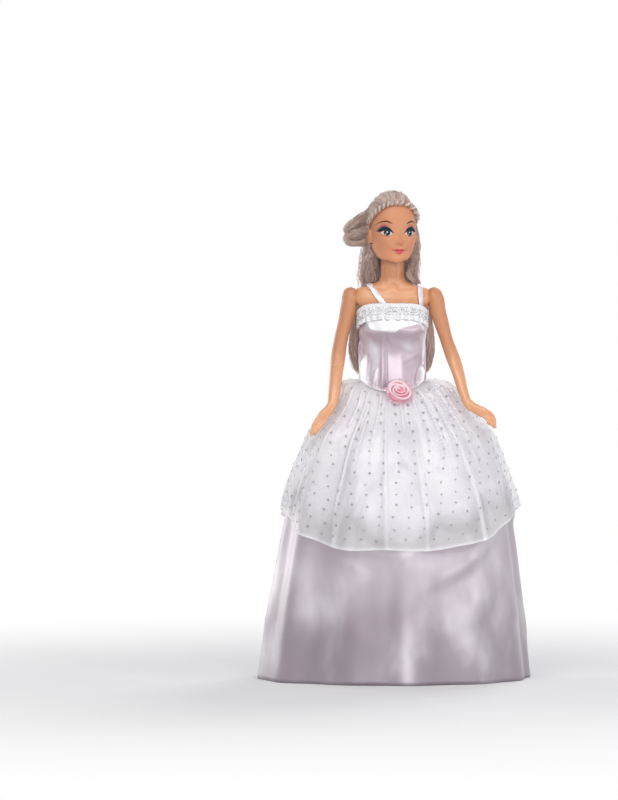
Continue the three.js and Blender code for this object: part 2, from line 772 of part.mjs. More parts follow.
const hairSkin = (grow) => globe((d) => hairRadius(d, grow), hairSides, hairRows, 0);
const turnedHair = (grow) => hairSkin(grow).rotate([0, 0, THREE.MathUtils.radToDeg(headTurn)]);

function faceWindow() {
  const curve = new THREE.CatmullRomCurve3(archShares.map((row) => onHead(row, 0)));
  const top = curve.getPoints(limbSides).map((p) => [p.x, p.z]);
  const low = jawHeight - headBelow;
  const jaw = headHalf * 0.9;
  return frontCut([[-jaw, low], ...top, [jaw, low]], -far, -headForward - headFront * 0.2);
}

function hairCap() {
  const hem = headMiddle.z - headBelow * 0.7;
  return hairSkin(0)
    .subtract(headSkin(fitGap * 3.5, hairSides - 6, hairRows - 1))
    .subtract(faceWindow())
    .subtract(twistTube(twistRadius + fitGap, 0))
    .subtract(block(at(-far, -far, 0), at(far, far, hem)));
}

function flipLock() {
  const start = onHead([-0.8, 0.45, 0.05], -hairDepth);
  const [sx, sy, sz] = [start.x, start.y, start.z];
  const places = [
    at(sx, sy, sz),
    at(sx - flipReach * 0.5, sy + hairDepth, sz + flipHeight * 0.35),
    at(sx - flipReach * 0.9, sy + hairDepth, sz + flipHeight * 0.1),
    at(sx - flipReach * 1.2, sy + hairDepth * 0.7, sz - flipHeight * 0.55),
  ];
  const sizes = [
    [0, flipHeight * 0.75, flipHeight * 0.5],
    [0.4, flipHeight, flipHeight * 0.6],
    [0.75, flipHeight * 0.8, flipHeight * 0.45],
    [1, flipHeight * 0.2, flipHeight * 0.12],
  ];
  return solid(limb(places, sizes, at(0, 0, 1), 16, 8)).subtract(hairSkin(fitGap));
}

// Hanging locks: share of the way down, place across, half width, depth
const lockShares = [
  [-0.35, 0.8, 0.3, 0.26], [0, 0.98, 0.36, 0.3], [0.35, 1.0, 0.44, 0.32],
  [0.7, 0.98, 0.46, 0.3], [0.92, 0.98, 0.38, 0.22], [1, 0.98, 0.2, 0.1],
];

function sideLock(side, fullness) {
  const top = headMiddle.z - headBelow * 0.45;
  const rings = lockShares.map(([down, out, half, deep]) => ring({
    x: side * headHalf * mix(out, 0.9, 1 - fullness),
    y: headBack * 0.5,
    z: top - lockLength * down,
    half: headHalf * half * fullness,
    front: headHalf * deep * fullness,
    back: headHalf * deep * fullness,
    sides: 14,
  }));
  return solid(loft(rings)).subtract(turnedHair(fitGap)).subtract(bodySolid(fitGap));
}

// Long hair: share of the way down, half width share, depth share
const backShares = [
  [0, 0.42, 1.2], [0.16, 0.56, 1.5], [0.3, 0.72, 1.2], [0.5, 0.92, 1],
  [0.75, 1, 0.9], [0.93, 0.9, 0.6], [1, 0.7, 0.3],
];

function backHair() {
  const top = jawHeight + grooveLength + knobLength;
  const rest = chestDepth + clothThick + sheerThick + fitGap * 4;
  const rings = backShares.map(([down, half, deep], i) => {
    const y = mix(headBack * 0.86, rest + backHairDepth * deep, Math.min(1, i / 2));
    return ring({
      y,
      z: top - backHairLength * down,
      half: backHairHalf * half,
      front: backHairDepth * deep,
      back: backHairDepth * deep,
      power: hairPower,
      sides: hairSides,
    });
  });
  return solid(loft(rings)).subtract(turnedHair(fitGap)).subtract(bodySolid(fitGap))
    .subtract(bodiceOuterSolid(clothThick + sheerThick + fitGap * 3));
}

// Gown: heights of its top edge and of the waist seam, by direction round the body
const topEdge = (turn) => {
  const dip = Math.sin(turn) < 0 ? Math.cos(turn) ** 4 : 1;
  return bustHeight + bodiceRise - bodiceDip * dip;
};
const seamHeight = (turn) => {
  const sag = Math.sin(turn) < 0 ? 0.55 * Math.sin(turn) ** 2 : 0;
  return waistHeight + seamBow * (0.5 * Math.cos(turn) ** 2 - sag);
};

function clothPoint(turn, height, grow) {
  const [half, front, back] = along(sections, height);
  const ease = waistEase * Math.exp(-(((height - waistHeight) / waistToBust) ** 2) * 2.5);
  const out = grow + ease;
  const bend = (v) => Math.sign(v) * Math.abs(v) ** (2 / bodyPower);
  const p = at((half + out) * bend(Math.cos(turn)), 0, height);
  const deep = Math.sin(turn) < 0 ? front + breastSize * breastLift(height) : back;
  p.setY((deep + out) * bend(Math.sin(turn)));
  return p;
}

// Cloth spans from breast to breast, so the bodice bulges as one across the front
function breastLift(height) {
  const up = Math.max(0, height - bustHeight) / (breastSpread * 1.5);
  const down = Math.max(0, bustHeight - height) / (breastSpread * 2);
  return Math.exp(-up * up - down * down) * 0.98;
}

function clothRings(lowAt, highAt, grow, rows = 5, sides = clothSides) {
  return spread(rows).map((v) => Array.from({ length: sides }, (_, i) => {
    const turn = (i / sides) * TAU;
    return clothPoint(turn, mix(lowAt(turn), highAt(turn), v), grow);
  }));
}

const bodice = () => solid(wall(
  clothRings(seamHeight, topEdge, fitGap + clothThick),
  clothRings(seamHeight, topEdge, fitGap),
)).subtract(bodySolid(fitGap));
const bodiceOuterSolid = (grow) => solid(loft(clothRings(seamHeight, topEdge, grow)));

function bodiceLace() {
  const inner = fitGap + clothThick + fitGap;
  const low = (turn) => topEdge(turn) - laceHeight + laceScallop * Math.cos(laceScallops * turn);
  return solid(wall(
    clothRings(low, topEdge, inner + sheerThick, 2, laceScallops * 3),
    clothRings(low, topEdge, inner, 2, laceScallops * 3),
  ));
}

// A strap lies on the shoulder: a band cut from a thin skin over the body
function strap(side, frontFoot, shoulderPlace, backFoot) {
  const skin = bodySolid(fitGap + strapThick, bustHeight)
    .subtract(bodySolid(fitGap, bustHeight - strapThick));
  const low = bustHeight + bodiceRise + fitGap;
  const lowBehind = topEdge(Math.PI / 2) + fitGap;
  const top = neckHeight;
  const band = (foot, bottom) => {
    const w = strapWidth / 2;
    const outline = [
      [foot - w, bottom], [foot + w, bottom], [shoulderPlace + w, top], [shoulderPlace - w, top],
    ].map(([x, z]) => [side * x, z]);
    return side > 0 ? outline : outline.reverse();
  };
  const front = frontCut(band(frontFoot, low), -far, strapThick);
  const back = frontCut(band(backFoot, lowBehind), -strapThick, far);
  return skin.intersect(front).add(skin.intersect(back));
}

// The overlapping edge that closes the gown behind, over its hook and loop strip
function backPlacket() {
  const outer = bodiceOuterSolid(fitGap + clothThick + fitGap + sheerThick);
  const inner = bodiceOuterSolid(fitGap + clothThick + fitGap);
  const half = placketWidth / 2;
  const low = waistHeight + seamBow;
  const high = topEdge(Math.PI / 2) - laceHeight - laceScallop - fitGap * 2;
  return outer.subtract(inner).intersect(block(at(-half, 0, low), at(half, far, high)));
}

// Skirt profile: share of the drop, share of the spread at the side and in front
const skirtShares = [
  [0, 0, 0, 0], [0.05, 0.014, 0.22, 0.06], [0.12, 0.06, 0.35, 0.19],
  [0.2, 0.12, 0.49, 0.32], [0.28, 0.17, 0.61, 0.42], [0.38, 0.26, 0.7, 0.56],
  [0.5, 0.4, 0.8, 0.72], [0.72, 0.68, 0.905, 0.88], [1, 1, 1, 1],
];
// Folds of the satin: how many round the skirt, where they start, how deep
const foldShares = [[12, 0, 0.55], [7, 0.4, 0.32], [5, 2.1, 0.2]];

function foldAt(turn, v) {
  const raw = foldShares
    .reduce((sum, [count, start, deep]) => sum + deep * Math.sin(count * turn + start), 0);
  return hemFold * raw * Math.min(1, 0.3 + v);
}

// The sheer skirt's own folds stand out from the satin: how many, and where their depth is greatest
const overFoldCount = 16;
const overFoldUneven = [3, 1, 0.35];

function overFoldAt(turn, w) {
  const [count, start, deep] = overFoldUneven;
  const uneven = 1 - deep + deep * Math.sin(count * turn + start);
  return overFold * uneven * (0.5 + 0.5 * Math.cos(overFoldCount * turn)) * w ** 1.5;
}

function skirtPoint(turn, v) {
  const [drop, sideShare, frontShare] = along(skirtShares, v);
  const start = seamHeight(turn) - fitGap;
  const waist = clothPoint(turn, start, fitGap + clothThick);
  const z = mix(start, 0, drop);
  const across = Math.cos(turn) ** 2;
  const share = mix(frontShare, sideShare, across);
  const hem = at(hemHalf * Math.cos(turn) + hemShift, hemDepth * Math.sin(turn), 0);
  const out = at(Math.cos(turn) * hemDepth, Math.sin(turn) * hemHalf, 0).normalize();
  const p = at(mix(waist.x, hem.x, share), mix(waist.y, hem.y, share), z);
  return p.addScaledVector(out, foldAt(turn, v) * Math.min(1, v * 3));
}

// The same point moved square to the cloth, but level where the cloth meets the seam or the floor
function clothSkirtPoint(turn, v, grow) {
  const step = 0.005;
  const down = skirtPoint(turn, Math.min(1, v + step)).sub(skirtPoint(turn, Math.max(0, v - step)));
  const round = skirtPoint(turn + step, v).sub(skirtPoint(turn - step, v));
  const square = new THREE.Vector3().crossVectors(down, round).normalize();
  const level = square.clone().setZ(0).normalize();
  const lean = Math.min(1, v * 30) * Math.min(1, (1 - v) * 8);
  return skirtPoint(turn, v).addScaledVector(level.lerp(square, lean).normalize(), grow);
}

function skirtRings(vAt, grow, rows) {
  return spread(rows).map((w) => Array.from({ length: skirtSides }, (_, i) => {
    const turn = (i / skirtSides) * TAU;
    return clothSkirtPoint(turn, vAt(turn, w), grow(w, turn));
  }));
}

const overStartShare = 0.02;
const rowShare = (w) => w ** 1.25;
const underskirt = () => solid(wall(
  skirtRings((turn, w) => rowShare(w), () => 0, skirtRows),
  skirtRings((turn, w) => rowShare(w), () => -clothThick, skirtRows),
));

// Where the sheer skirt ends, as a share of the way down the skirt
function overEnd(turn) {
  const hem = mix(overHemFront, overHemSide, Math.cos(turn) ** 4);
  let [low, high] = [0, 1];
  for (let i = 0; i < 24; i += 1) {
    const middle = (low + high) / 2;
    if (skirtPoint(turn, middle).z > hem) low = middle;
    else high = middle;
  }
  return low;
}

function overskirt() {
  const stand = (w, turn) => fitGap * 2 + overStand * w * w + overFoldAt(turn, w);
  const place = (turn, w) => mix(overStartShare, overEnd(turn), rowShare(w));
  return solid(wall(
    skirtRings(place, (w, turn) => stand(w, turn) + sheerThick, skirtRows - 2),
    skirtRings(place, stand, skirtRows - 2),
  ));
}

// The ribbon rose: a ribbon wound in a spiral on a shallow cup
function rosePlace() {
  const turn = -Math.PI / 2 + roseSide;
  const cover = fitGap * 3 + sheerThick;
  const top = clothPoint(turn, seamHeight(turn) + frillRadius, clothThick + fitGap * 2);
  const stepShare = 0.01;
  let share = overStartShare + stepShare;
  let low = clothSkirtPoint(turn, share, cover);
  while (low.z > top.z - frillRadius * 2 && share < 1) {
    share += stepShare;
    low = clothSkirtPoint(turn, share, cover);
  }
  const lean = Math.atan2(top.y - low.y, top.z - low.z);
  const lift = at(0, -Math.cos(lean), Math.sin(lean)).multiplyScalar(frillThick + frillWave + fitGap);
  return { middle: top.clone().add(low).multiplyScalar(0.5).add(lift), lean };
}

function onGown(made) {
  const { middle, lean } = rosePlace();
  return made.rotate([THREE.MathUtils.radToDeg(-lean), 0, 0]).translate([middle.x, middle.y, middle.z]);
}

function waistRose() {
  const rings = spread(roseSteps).map((t) => {
    const turn = roseTurns * TAU * t;
    const radius = mix(petalThick, roseRadius - petalThick / 2, t);
    const front = mix(roseDepth, roseDepth * 0.45, t ** 1.5);
    const point = (r, depth) => at(r * Math.cos(turn), -depth, r * Math.sin(turn));
    return [
      point(radius - petalThick / 2, 0),
      point(radius + petalThick / 2, 0),
      point(radius + petalThick * 0.9, front),
      point(radius, front * 1.04),
    ];
  });
  const cup = revolve([
    [0, 0],
    [roseRadius * 0.9, 0],
    [roseRadius, petalThick],
    [roseRadius * 0.7, petalThick * 2.2],
    [0, petalThick * 3],
  ], 'y', discSides - 2).rotateX(Math.PI);
  return onGown(solid(loft(rings)).add(solid(cup)));
}

function roseFrill() {
  const sides = frillWaves * 3;
  const disc = (radius, back) => Array.from({ length: sides }, (_, i) => {
    const turn = (i / sides) * TAU;
    const r = radius * (1 + 0.06 * Math.cos(frillWaves * turn));
    const edge = frillWave * Math.cos(frillWaves * turn) * (radius / frillRadius) ** 2 * 0.5;
    return at(r * Math.cos(turn), fitGap + frillWave / 2 + back + edge, r * Math.sin(turn));
  });
  const radii = [0.3, 0.7, 1].map((share) => share * frillRadius);
  return onGown(solid(loft([
    ...radii.map((r) => disc(r, 0)),
    ...radii.reverse().map((r) => disc(r, frillThick)),
  ])));
}

// Finishes
const paint = (color, roughness, extra = {}) => new THREE.MeshStandardMaterial({
  color, roughness, metalness: 0, ...extra,
});
const skin = paint(0xd99a6c, 0.35);
const vinyl = paint(0xdfa27a, 0.5);
const blonde = paint(0xcdbfae, 0.45);
const satin = paint(0xe9e6ee, 0.3);
const tulle = paint(0xf4f4f8, 0.6, { transparent: true, opacity: 0.5 });
const silver = paint(0xd6d8de, 0.35);
const pink = paint(0xf2a0b4, 0.4);
const nylon = paint(0xe8e2da, 0.5);
const shoePlastic = paint(0xf6f3f4, 0.25);

const doll = new THREE.Group();

function put(group, name, made, material) {
  const mesh = new THREE.Mesh(shapeOf(made), material);
  mesh.name = name;
  group.add(mesh);
}

const [front, back] = torsoHalves();
put(doll, 'torso_front', front, skin);
put(doll, 'torso_back', back, skin);
put(doll, 'right_arm', arm(-1, 'right', rightReach), skin);
put(doll, 'left_arm', arm(1, 'left', leftReach), skin);
put(doll, 'hip_rod', solid(revolve(rodProfile(0), 'x', limbSides).translate(0, 0, hipHeight)), nylon);
[['right', -1], ['left', 1]].forEach(([name, side]) => {
  put(doll, `${name}_leg`, leg(side), skin);
  put(doll, `${name}_shoe`, shoe(side), shoePlastic);
});

put(doll, 'bodice', bodice(), satin);
put(doll, 'bodice_lace', bodiceLace(), silver);
put(doll, 'back_placket', backPlacket(), satin);
put(doll, 'right_strap', strap(-1, strapInset * 0.67, strapInset * 2.15, strapInset * 1.7), satin);
put(doll, 'left_strap', strap(1, strapInset * 2.4, strapInset * 2.2, strapInset * 1.7), satin);
put(doll, 'underskirt', underskirt(), satin);
put(doll, 'overskirt', overskirt(), tulle);
put(doll, 'waist_rose', waistRose(), pink);
put(doll, 'rose_frill', roseFrill(), pink);

// The head and its hair turn together on the neck
const turned = new THREE.Group();
turned.rotation.z = headTurn;
doll.add(turned);
put(turned, 'head', headSolid(), vinyl);
put(turned, 'hair_cap', hairCap(), blonde);
put(turned, 'front_twist', frontTwist(), blonde);
put(turned, 'flip_lock', flipLock(), blonde);
put(doll, 'right_side_lock', sideLock(-1, 1), blonde);
put(doll, 'left_side_lock', sideLock(1, 0.62), blonde);
put(doll, 'back_hair', backHair(), blonde);

export default doll;
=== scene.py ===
# A fashion doll in a white ball gown: turned head, long pale hair, satin bodice and skirt, dotted sheer overskirt.
# Metres in Blender, +Z up, the doll faces -Y and its left hand is at +X. Formulas work in millimetres.

import math

import bpy
import numpy as np
from mathutils import Matrix, Vector


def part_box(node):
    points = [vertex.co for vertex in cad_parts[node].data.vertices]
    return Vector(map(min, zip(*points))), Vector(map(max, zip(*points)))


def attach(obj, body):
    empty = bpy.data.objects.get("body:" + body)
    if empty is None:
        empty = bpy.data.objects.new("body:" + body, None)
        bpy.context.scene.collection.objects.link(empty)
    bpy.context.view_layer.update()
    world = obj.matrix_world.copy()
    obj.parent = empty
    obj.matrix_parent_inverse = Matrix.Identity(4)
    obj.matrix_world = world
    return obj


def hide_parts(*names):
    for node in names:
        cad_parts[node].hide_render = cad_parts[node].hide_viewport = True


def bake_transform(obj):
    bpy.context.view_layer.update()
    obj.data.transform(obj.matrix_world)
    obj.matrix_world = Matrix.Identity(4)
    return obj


bl_info = {
    "name": "Ball gown doll",
    "version": (1, 0, 0),
    "blender": (4, 5, 0),
    "location": "3D View > Sidebar > Doll",
    "description": "Builds the finished surfaces of a fashion doll round its construction model",
    "category": "Object",
}

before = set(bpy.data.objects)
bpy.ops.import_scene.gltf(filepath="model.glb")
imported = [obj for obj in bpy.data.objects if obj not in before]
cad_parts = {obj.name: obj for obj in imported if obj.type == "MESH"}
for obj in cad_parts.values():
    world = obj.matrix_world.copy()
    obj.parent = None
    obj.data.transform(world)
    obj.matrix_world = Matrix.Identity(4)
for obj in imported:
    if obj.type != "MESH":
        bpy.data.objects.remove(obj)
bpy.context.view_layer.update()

MM = 0.001
TAU = 2 * math.pi

# Heights of the body, in millimetres above the floor
HIP = 143.0
WAIST = 174.0
BUST = 211.0
SHOULDER = 226.0
NECK = 237.0
JAW = 245.6
NECK_STUB = 4.2
EYES = 265.6
CROTCH = 130.5

# Body, gown and head sizes in millimetres, as in the construction model
SHOULDER_HALF = 21.8
BREAST = 5.5
BREAST_APART = 8.5
BREAST_SPREAD = 6.0
NECK_RADIUS = 6.6
HIP_DISC = 13.0
LEG_SPLIT = 4.6
FIT_GAP = 0.35
TURN_GAP = 0.4
BODY_POWER = 2.3
CHEST_RADIUS = 19.0
HEM_HALF = 80.5
HEM_DEPTH = 60.0
HEM_SHIFT = -0.4
SEAM_BOW = 6.5
OVER_SIDE = 102.0
OVER_FRONT = 78.0
ARM_LENGTH = 82.0
UPPER_ARM = 5.2
FINGER = 0.8
HEAD_HALF = 13.4
HEAD_FRONT = 14.2
HEAD_BACK = 15.2
HEAD_BELOW = 18.9
HEAD_ABOVE = 23.0
HEAD_FORWARD = 1.2
HEAD_POWER = 2.25
HAIR_DEPTH = 2.8


# Settings that a user would change

def tint(code):
    """Linear colour of a code that is written as it looks on a screen."""
    parts = np.array([int(code[i:i + 2], 16) / 255 for i in (1, 3, 5)])
    linear = np.where(parts <= 0.04045, parts / 12.92, ((parts + 0.055) / 1.055) ** 2.4)
    return (*(float(c) for c in linear), 1.0)


def length(label, note, default):
    """A length property, given in millimetres."""
    return bpy.props.FloatProperty(name=label, description=note, default=default * MM, unit="LENGTH", precision=5)


def colour(label, note, default):
    """A colour property, given by the code that it has on a screen."""
    return bpy.props.FloatVectorProperty(
        name=label, description=note, default=tint(default), size=4, min=0, max=1, subtype="COLOR")


class DollStageSettings(bpy.types.PropertyGroup):
    distance: length("Camera distance", "From the lens to the doll", 2000)
    view_height: length("View height", "Height that the picture takes in at the doll", 477.5)
    centre_across: length("Centre across", "Middle of the picture, to the doll's left", -49.8)
    centre_up: length("Centre up", "Middle of the picture above the floor", 165.4)


class DollBodySettings(bpy.types.PropertyGroup):
    head_turn: bpy.props.FloatProperty(
        name="Head turn", description="Turn of the head at rest", default=math.radians(15), unit="ROTATION")
    skin: colour("Skin", "Hard plastic of the body and limbs", "#e6a87c")
    # Upper arm colour is painted shade: the arm's plastic painted darker above the elbow
    upper_arm_painted_shade: colour("Upper arm", "Duller plastic above the elbow", "#cf9069")
    face: colour("Face", "Soft vinyl of the head", "#dc9a74")
    lips: colour("Lips", "Painted lips", "#dd5a66")
    iris: colour("Iris", "Painted iris", "#12404c")
    lid: colour("Lid", "Painted upper lid", "#08222b")
    shadow: colour("Eye shadow", "Painted shadow above the eyes", "#9c4a72")
    brow: colour("Brow", "Painted brow", "#4e241c")


class DollHairSettings(bpy.types.PropertyGroup):
    strand: length("Strand", "Radius of a modelled strand", 0.13)
    cap_strands: bpy.props.IntProperty(name="Cap strands", description="Strands combed over the head", default=520)
    long_strands: bpy.props.IntProperty(name="Long strands", description="Strands down the back", default=420)
    light: colour("Light", "Strands in the light", "#f4e8de")
    middle: colour("Middle", "Most strands", "#d8beb2")
    dark: colour("Dark", "Strands in the shade", "#99796d")


class DollGownSettings(bpy.types.PropertyGroup):
    satin: colour("Satin", "White satin", "#f1ecf2")
    # Bodice satin is painted shade: the white satin painted mauve-grey between its highlights
    bodice: colour("Bodice satin", "Satin of the bodice", "#bba7b3")
    satin_shade: colour("Satin shade", "Satin where it turns away", "#dcd5df")
    # Hem satin and hem shade are painted shade: the white satin painted mauve-grey below the net, darker near the
    # floor
    hem: colour("Hem satin", "Satin below the net", "#aea2ac")
    hem_shade: colour("Hem shade", "Satin near the floor", "#8a7d88")
    tulle: colour("Tulle", "Sheer net", "#ffffff")
    rose: colour("Rose", "Ribbon rose", "#ffe0e8")
    # Painted shade inside the rose's turns
    rose_painted_shade: colour("Rose deep", "Inside the rose's turns", "#f79fb9")
    gathers: bpy.props.IntProperty(name="Gathers", description="Gathers at the waist", default=38)
    gather_depth: length("Gather depth", "Depth of a gather", 1.3)
    dot_spacing: length("Dot spacing", "Between the silver dots", 7.4)
    dot_radius: length("Dot radius", "Radius of a silver dot", 0.7)


# Curves and shapes, worked out as whole arrays

def mix(a, b, t):
    """a where the share t is 0 and b where it is 1."""
    return a + (b - a) * t


def unit(v):
    """Vectors of length 1 that point the same way."""
    return v / np.maximum(np.linalg.norm(v, axis=-1, keepdims=True), 1e-9)


def smooth(low, high, x):
    """0 below low and 1 above high, with an S-shaped rise between them."""
    t = np.clip((x - low) / (high - low), 0, 1)
    return t * t * (3 - 2 * t)


def bump(x, middle, half):
    """A bell of height 1 at the middle that has fallen to 1/e at half."""
    return np.exp(-((x - middle) / half) ** 2)


def bend(v, power):
    """Sine or cosine raised to 2/power with its sign kept, which squares an oval."""
    return np.sign(v) * np.abs(v) ** (2 / power)


def along(rows, place):
    """Smooth curve through rows [place, value, ...]: cubic pieces whose slopes are the harmonic means of the
    stretches beside each row, and zero where the values turn."""
    rows = np.asarray(rows, float)
    x, y = rows[:, 0], rows[:, 1:]
    place = np.clip(place, x[0], x[-1])
    i = np.clip(np.searchsorted(x, place, side="left") - 1, 0, len(x) - 2)
    step = np.diff(x)
    rise = np.diff(y, axis=0) / step[:, None]
    before, after = rise[:-1], rise[1:]
    product = before * after
    inner = np.where(product > 0, 2 * product / np.where(product > 0, before + after, 1), 0)
    slope = np.vstack([rise[:1], inner, rise[-1:]])
    h = step[i][..., None]
    s = ((place - x[i]) / step[i])[..., None]
    return ((2 * s**3 - 3 * s**2 + 1) * y[i] + (s**3 - 2 * s**2 + s) * h * slope[i]
            + (3 * s**2 - 2 * s**3) * y[i + 1] + (s**3 - s**2) * h * slope[i + 1])


def ring(count):
    """Angles evenly round a circle."""
    return np.linspace(0, TAU, count, endpoint=False)


def round_grid(cols, rows):
    """Angles round the body and shares of the way from 0 to 1, as a grid."""
    return np.meshgrid(ring(cols), np.linspace(0, 1, rows))


def grid_uv(across, down):
    """UV from two arrays that fit each other."""
    return np.stack(np.broadcast_arrays(across, down), -1)


def wrapped(angle):
    """The same angle between -pi and pi."""
    return np.mod(angle + math.pi, TAU) - math.pi


def run(points, axis=0):
    """Length of the way from the first point, along one axis of the points."""
    step = np.linalg.norm(np.diff(points, axis=axis), axis=-1)
    return np.concatenate([np.zeros_like(np.take(step, [0], axis)), np.cumsum(step, axis)], axis)


def spokes(angle, side, up):
    """Directions round each point at some angles, from its side way towards its up way."""
    return np.cos(angle)[..., None] * side[..., None, :] + np.sin(angle)[..., None] * up[..., None, :]


def curve(points, t):
    """Catmull-Rom curve: points has its stations on the second last axis, each stretch takes an equal share of t."""
    p = np.asarray(points, float)
    first, last = 2 * p[..., :1, :] - p[..., 1:2, :], 2 * p[..., -1:, :] - p[..., -2:-1, :]
    p = np.concatenate([first, p, last], axis=-2)
    spans = p.shape[-2] - 3
    s = np.clip(t, 0, 1) * spans
    i = np.minimum(s.astype(int), spans - 1)
    f = (s - i)[:, None]
    a, b, c, d = (p[..., i + k, :] for k in range(4))
    return 0.5 * (2 * b + (c - a) * f + (2 * a - 5 * b + 4 * c - d) * f**2 + (3 * b - a - 3 * c + d) * f**3)


def turned(points):
    """Points of the head's own frame, turned with the head."""
    a = bpy.context.scene.doll_body.head_turn
    x, y, z = np.moveaxis(points, -1, 0)
    return np.stack([x * math.cos(a) - y * math.sin(a), x * math.sin(a) + y * math.cos(a), z], -1)


def sweep(centres, wide, thick, across, sides):
    """Oval rings round a line of centres: half width along across, half thickness square to it and to the line."""
    heading = unit(np.gradient(centres, axis=0))
    through = unit(np.cross(heading, np.asarray(across, float)))
    side = unit(np.cross(through, heading))
    a = np.arange(sides) / sides * TAU
    return centres[:, None] + spokes(a, wide[:, None] * side, thick[:, None] * through)


# Meshes

def link(name, mesh):
    """An object with that data, in the scene."""
    obj = bpy.data.objects.new(name, mesh)
    bpy.context.scene.collection.objects.link(obj)
    return obj


def mesh_from(name, points, faces, corner_uv=None, fields=None):
    """Object from points in millimetres and rows of four corner numbers; a triangle names its last corner twice.
    The faces are turned outwards: the sum of each normal times its place from the middle is made positive."""
    points, faces = np.asarray(points, float), np.asarray(faces)
    p = points[faces]
    normals = np.cross(p[:, 2] - p[:, 0], p[:, 3] - p[:, 1])
    if np.einsum("ij,ij->", normals, p.mean(1) - points.mean(0)) < 0:
        faces = faces[:, ::-1]
        corner_uv = None if corner_uv is None else corner_uv[:, ::-1]
    kept = np.ones(faces.shape, bool)
    kept[:, 3] = faces[:, 2] != faces[:, 3]
    kept[:, 0] = faces[:, 0] != faces[:, 1]
    size = kept.sum(1)
    mesh = bpy.data.meshes.new(name)
    mesh.vertices.add(len(points))
    mesh.vertices.foreach_set("co", (points * MM).astype(np.float32).ravel())
    mesh.loops.add(int(size.sum()))
    mesh.loops.foreach_set("vertex_index", faces[kept].astype(np.int32))
    mesh.polygons.add(len(faces))
    mesh.polygons.foreach_set("loop_start", (np.cumsum(size) - size).astype(np.int32))
    mesh.update(calc_edges=True)
    if corner_uv is not None:
        layer = mesh.uv_layers.new(name="UVMap")
        layer.data.foreach_set("uv", corner_uv[kept].astype(np.float32).ravel())
    for label, values in (fields or {}).items():
        mesh.attributes.new(label, "FLOAT", "POINT").data.foreach_set(
            "value", np.asarray(values, np.float32).ravel())
    mesh.shade_smooth()
    return link(name, mesh)


def surface(name, grid, wrap=True, ends=False, uv=None, fields=None):
    """Quads over a grid of points (rows, columns). wrap joins the last column to the first, and ends closes the
    first and last rows with fans. uv has one more column than the grid where it wraps."""
    rows, cols = grid.shape[:2]
    r, c = np.meshgrid(np.arange(rows - 1), np.arange(cols if wrap else cols - 1), indexing="ij")
    row_of = np.stack([r, r, r + 1, r + 1], -1).reshape(-1, 4)
    col_of = np.stack([c, c + 1, c + 1, c], -1).reshape(-1, 4)
    faces = row_of * cols + col_of % cols
    points = grid.reshape(-1, 3)
    fields = {k: np.broadcast_to(v, (rows, cols)).ravel() for k, v in (fields or {}).items()}
    corners = None if uv is None else uv[row_of, col_of]
    if ends:
        rim, hubs = np.arange(cols), []
        for row, order in ((0, [1, 0, 2, 3]), (rows - 1, [0, 1, 2, 3])):
            hub = np.full(cols, rows * cols + len(hubs))
            fan = np.stack([row * cols + rim, row * cols + np.roll(rim, -1), hub, hub], -1)[:, order]
            faces = np.vstack([faces, fan])
            hubs.append(grid[row].mean(0))
            fields = {k: np.append(v, v[row * cols:(row + 1) * cols].mean()) for k, v in fields.items()}
            if corners is not None:
                corners = np.vstack([corners, np.broadcast_to(uv[row, :1, None], (cols, 4, 2))])
        points = np.vstack([points, hubs])
    return mesh_from(name, points, faces, corners, fields)


def tubes(name, paths, radius, sides=4):
    """Thin tubes along paths (strands, steps, 3): square or round rings set across each path; square ones are closed
    at both ends. Each strand has its own number from 0 to 1 in the field tone, and the share of its way in the UV."""
    count, steps = paths.shape[:2]
    heading = unit(np.gradient(paths, axis=1))
    side = unit(np.cross(heading, unit(np.array([0.31, 0.87, 0.38]))))
    up = np.cross(side, heading)
    a = np.arange(sides) / sides * TAU
    grid = paths[:, :, None] + radius[..., None, None] * spokes(a, side, up)
    r, c = np.meshgrid(np.arange(steps - 1), np.arange(sides), indexing="ij")
    d = (c + 1) % sides
    one = np.stack([r * sides + c, r * sides + d, (r + 1) * sides + d, (r + 1) * sides + c], -1).reshape(-1, 4)
    start = (np.arange(count) * steps * sides)[:, None, None]
    faces = [(one[None] + start).reshape(-1, 4)]
    share = np.stack([r, r, r + 1, r + 1], -1).reshape(-1, 4) / (steps - 1)
    tone = np.random.default_rng(count).random(count)
    uv = grid_uv(tone[:, None, None], share[None]).reshape(-1, 4, 2)
    if sides == 4:
        for step, order in ((0, [3, 2, 1, 0]), (steps - 1, [0, 1, 2, 3])):
            faces.append(start[:, 0] + step * sides + np.array(order)[None])
            uv = np.vstack([uv, grid_uv(tone[:, None], np.full((count, 4), step / (steps - 1)))])
    return mesh_from(name, grid.reshape(-1, 3), np.vstack(faces), uv, {"tone": np.repeat(tone, steps * sides)})


def joined(name, objects):
    """One object from several."""
    points, faces, start = [], [], 0
    for obj in objects:
        mesh = obj.data
        co = np.empty(len(mesh.vertices) * 3)
        mesh.vertices.foreach_get("co", co)
        points.append(co.reshape(-1, 3))
        faces += [[start + i for i in p.vertices] for p in mesh.polygons]
        start += len(mesh.vertices)
        bpy.data.objects.remove(obj)
    mesh = bpy.data.meshes.new(name)
    mesh.from_pydata(np.vstack(points).tolist(), [], faces)
    return link(name, mesh)


def settle(obj):
    """Puts the result of the modifiers into the mesh, and takes them off."""
    bpy.context.view_layer.update()
    graph = bpy.context.evaluated_depsgraph_get()
    mesh = bpy.data.meshes.new_from_object(obj.evaluated_get(graph))
    obj.modifiers.clear()
    obj.data = mesh
    mesh.shade_smooth()
    return obj


def fused(name, grids, voxel, rounds):
    """Closed sweeps melted into one skin: a voxel remesh, then rounds of smoothing, which fillets the joints."""
    obj = joined(name, [surface(f"{name}_{i}", g, ends=True) for i, g in enumerate(grids)])
    melt(obj, voxel, rounds)
    return settle(obj)


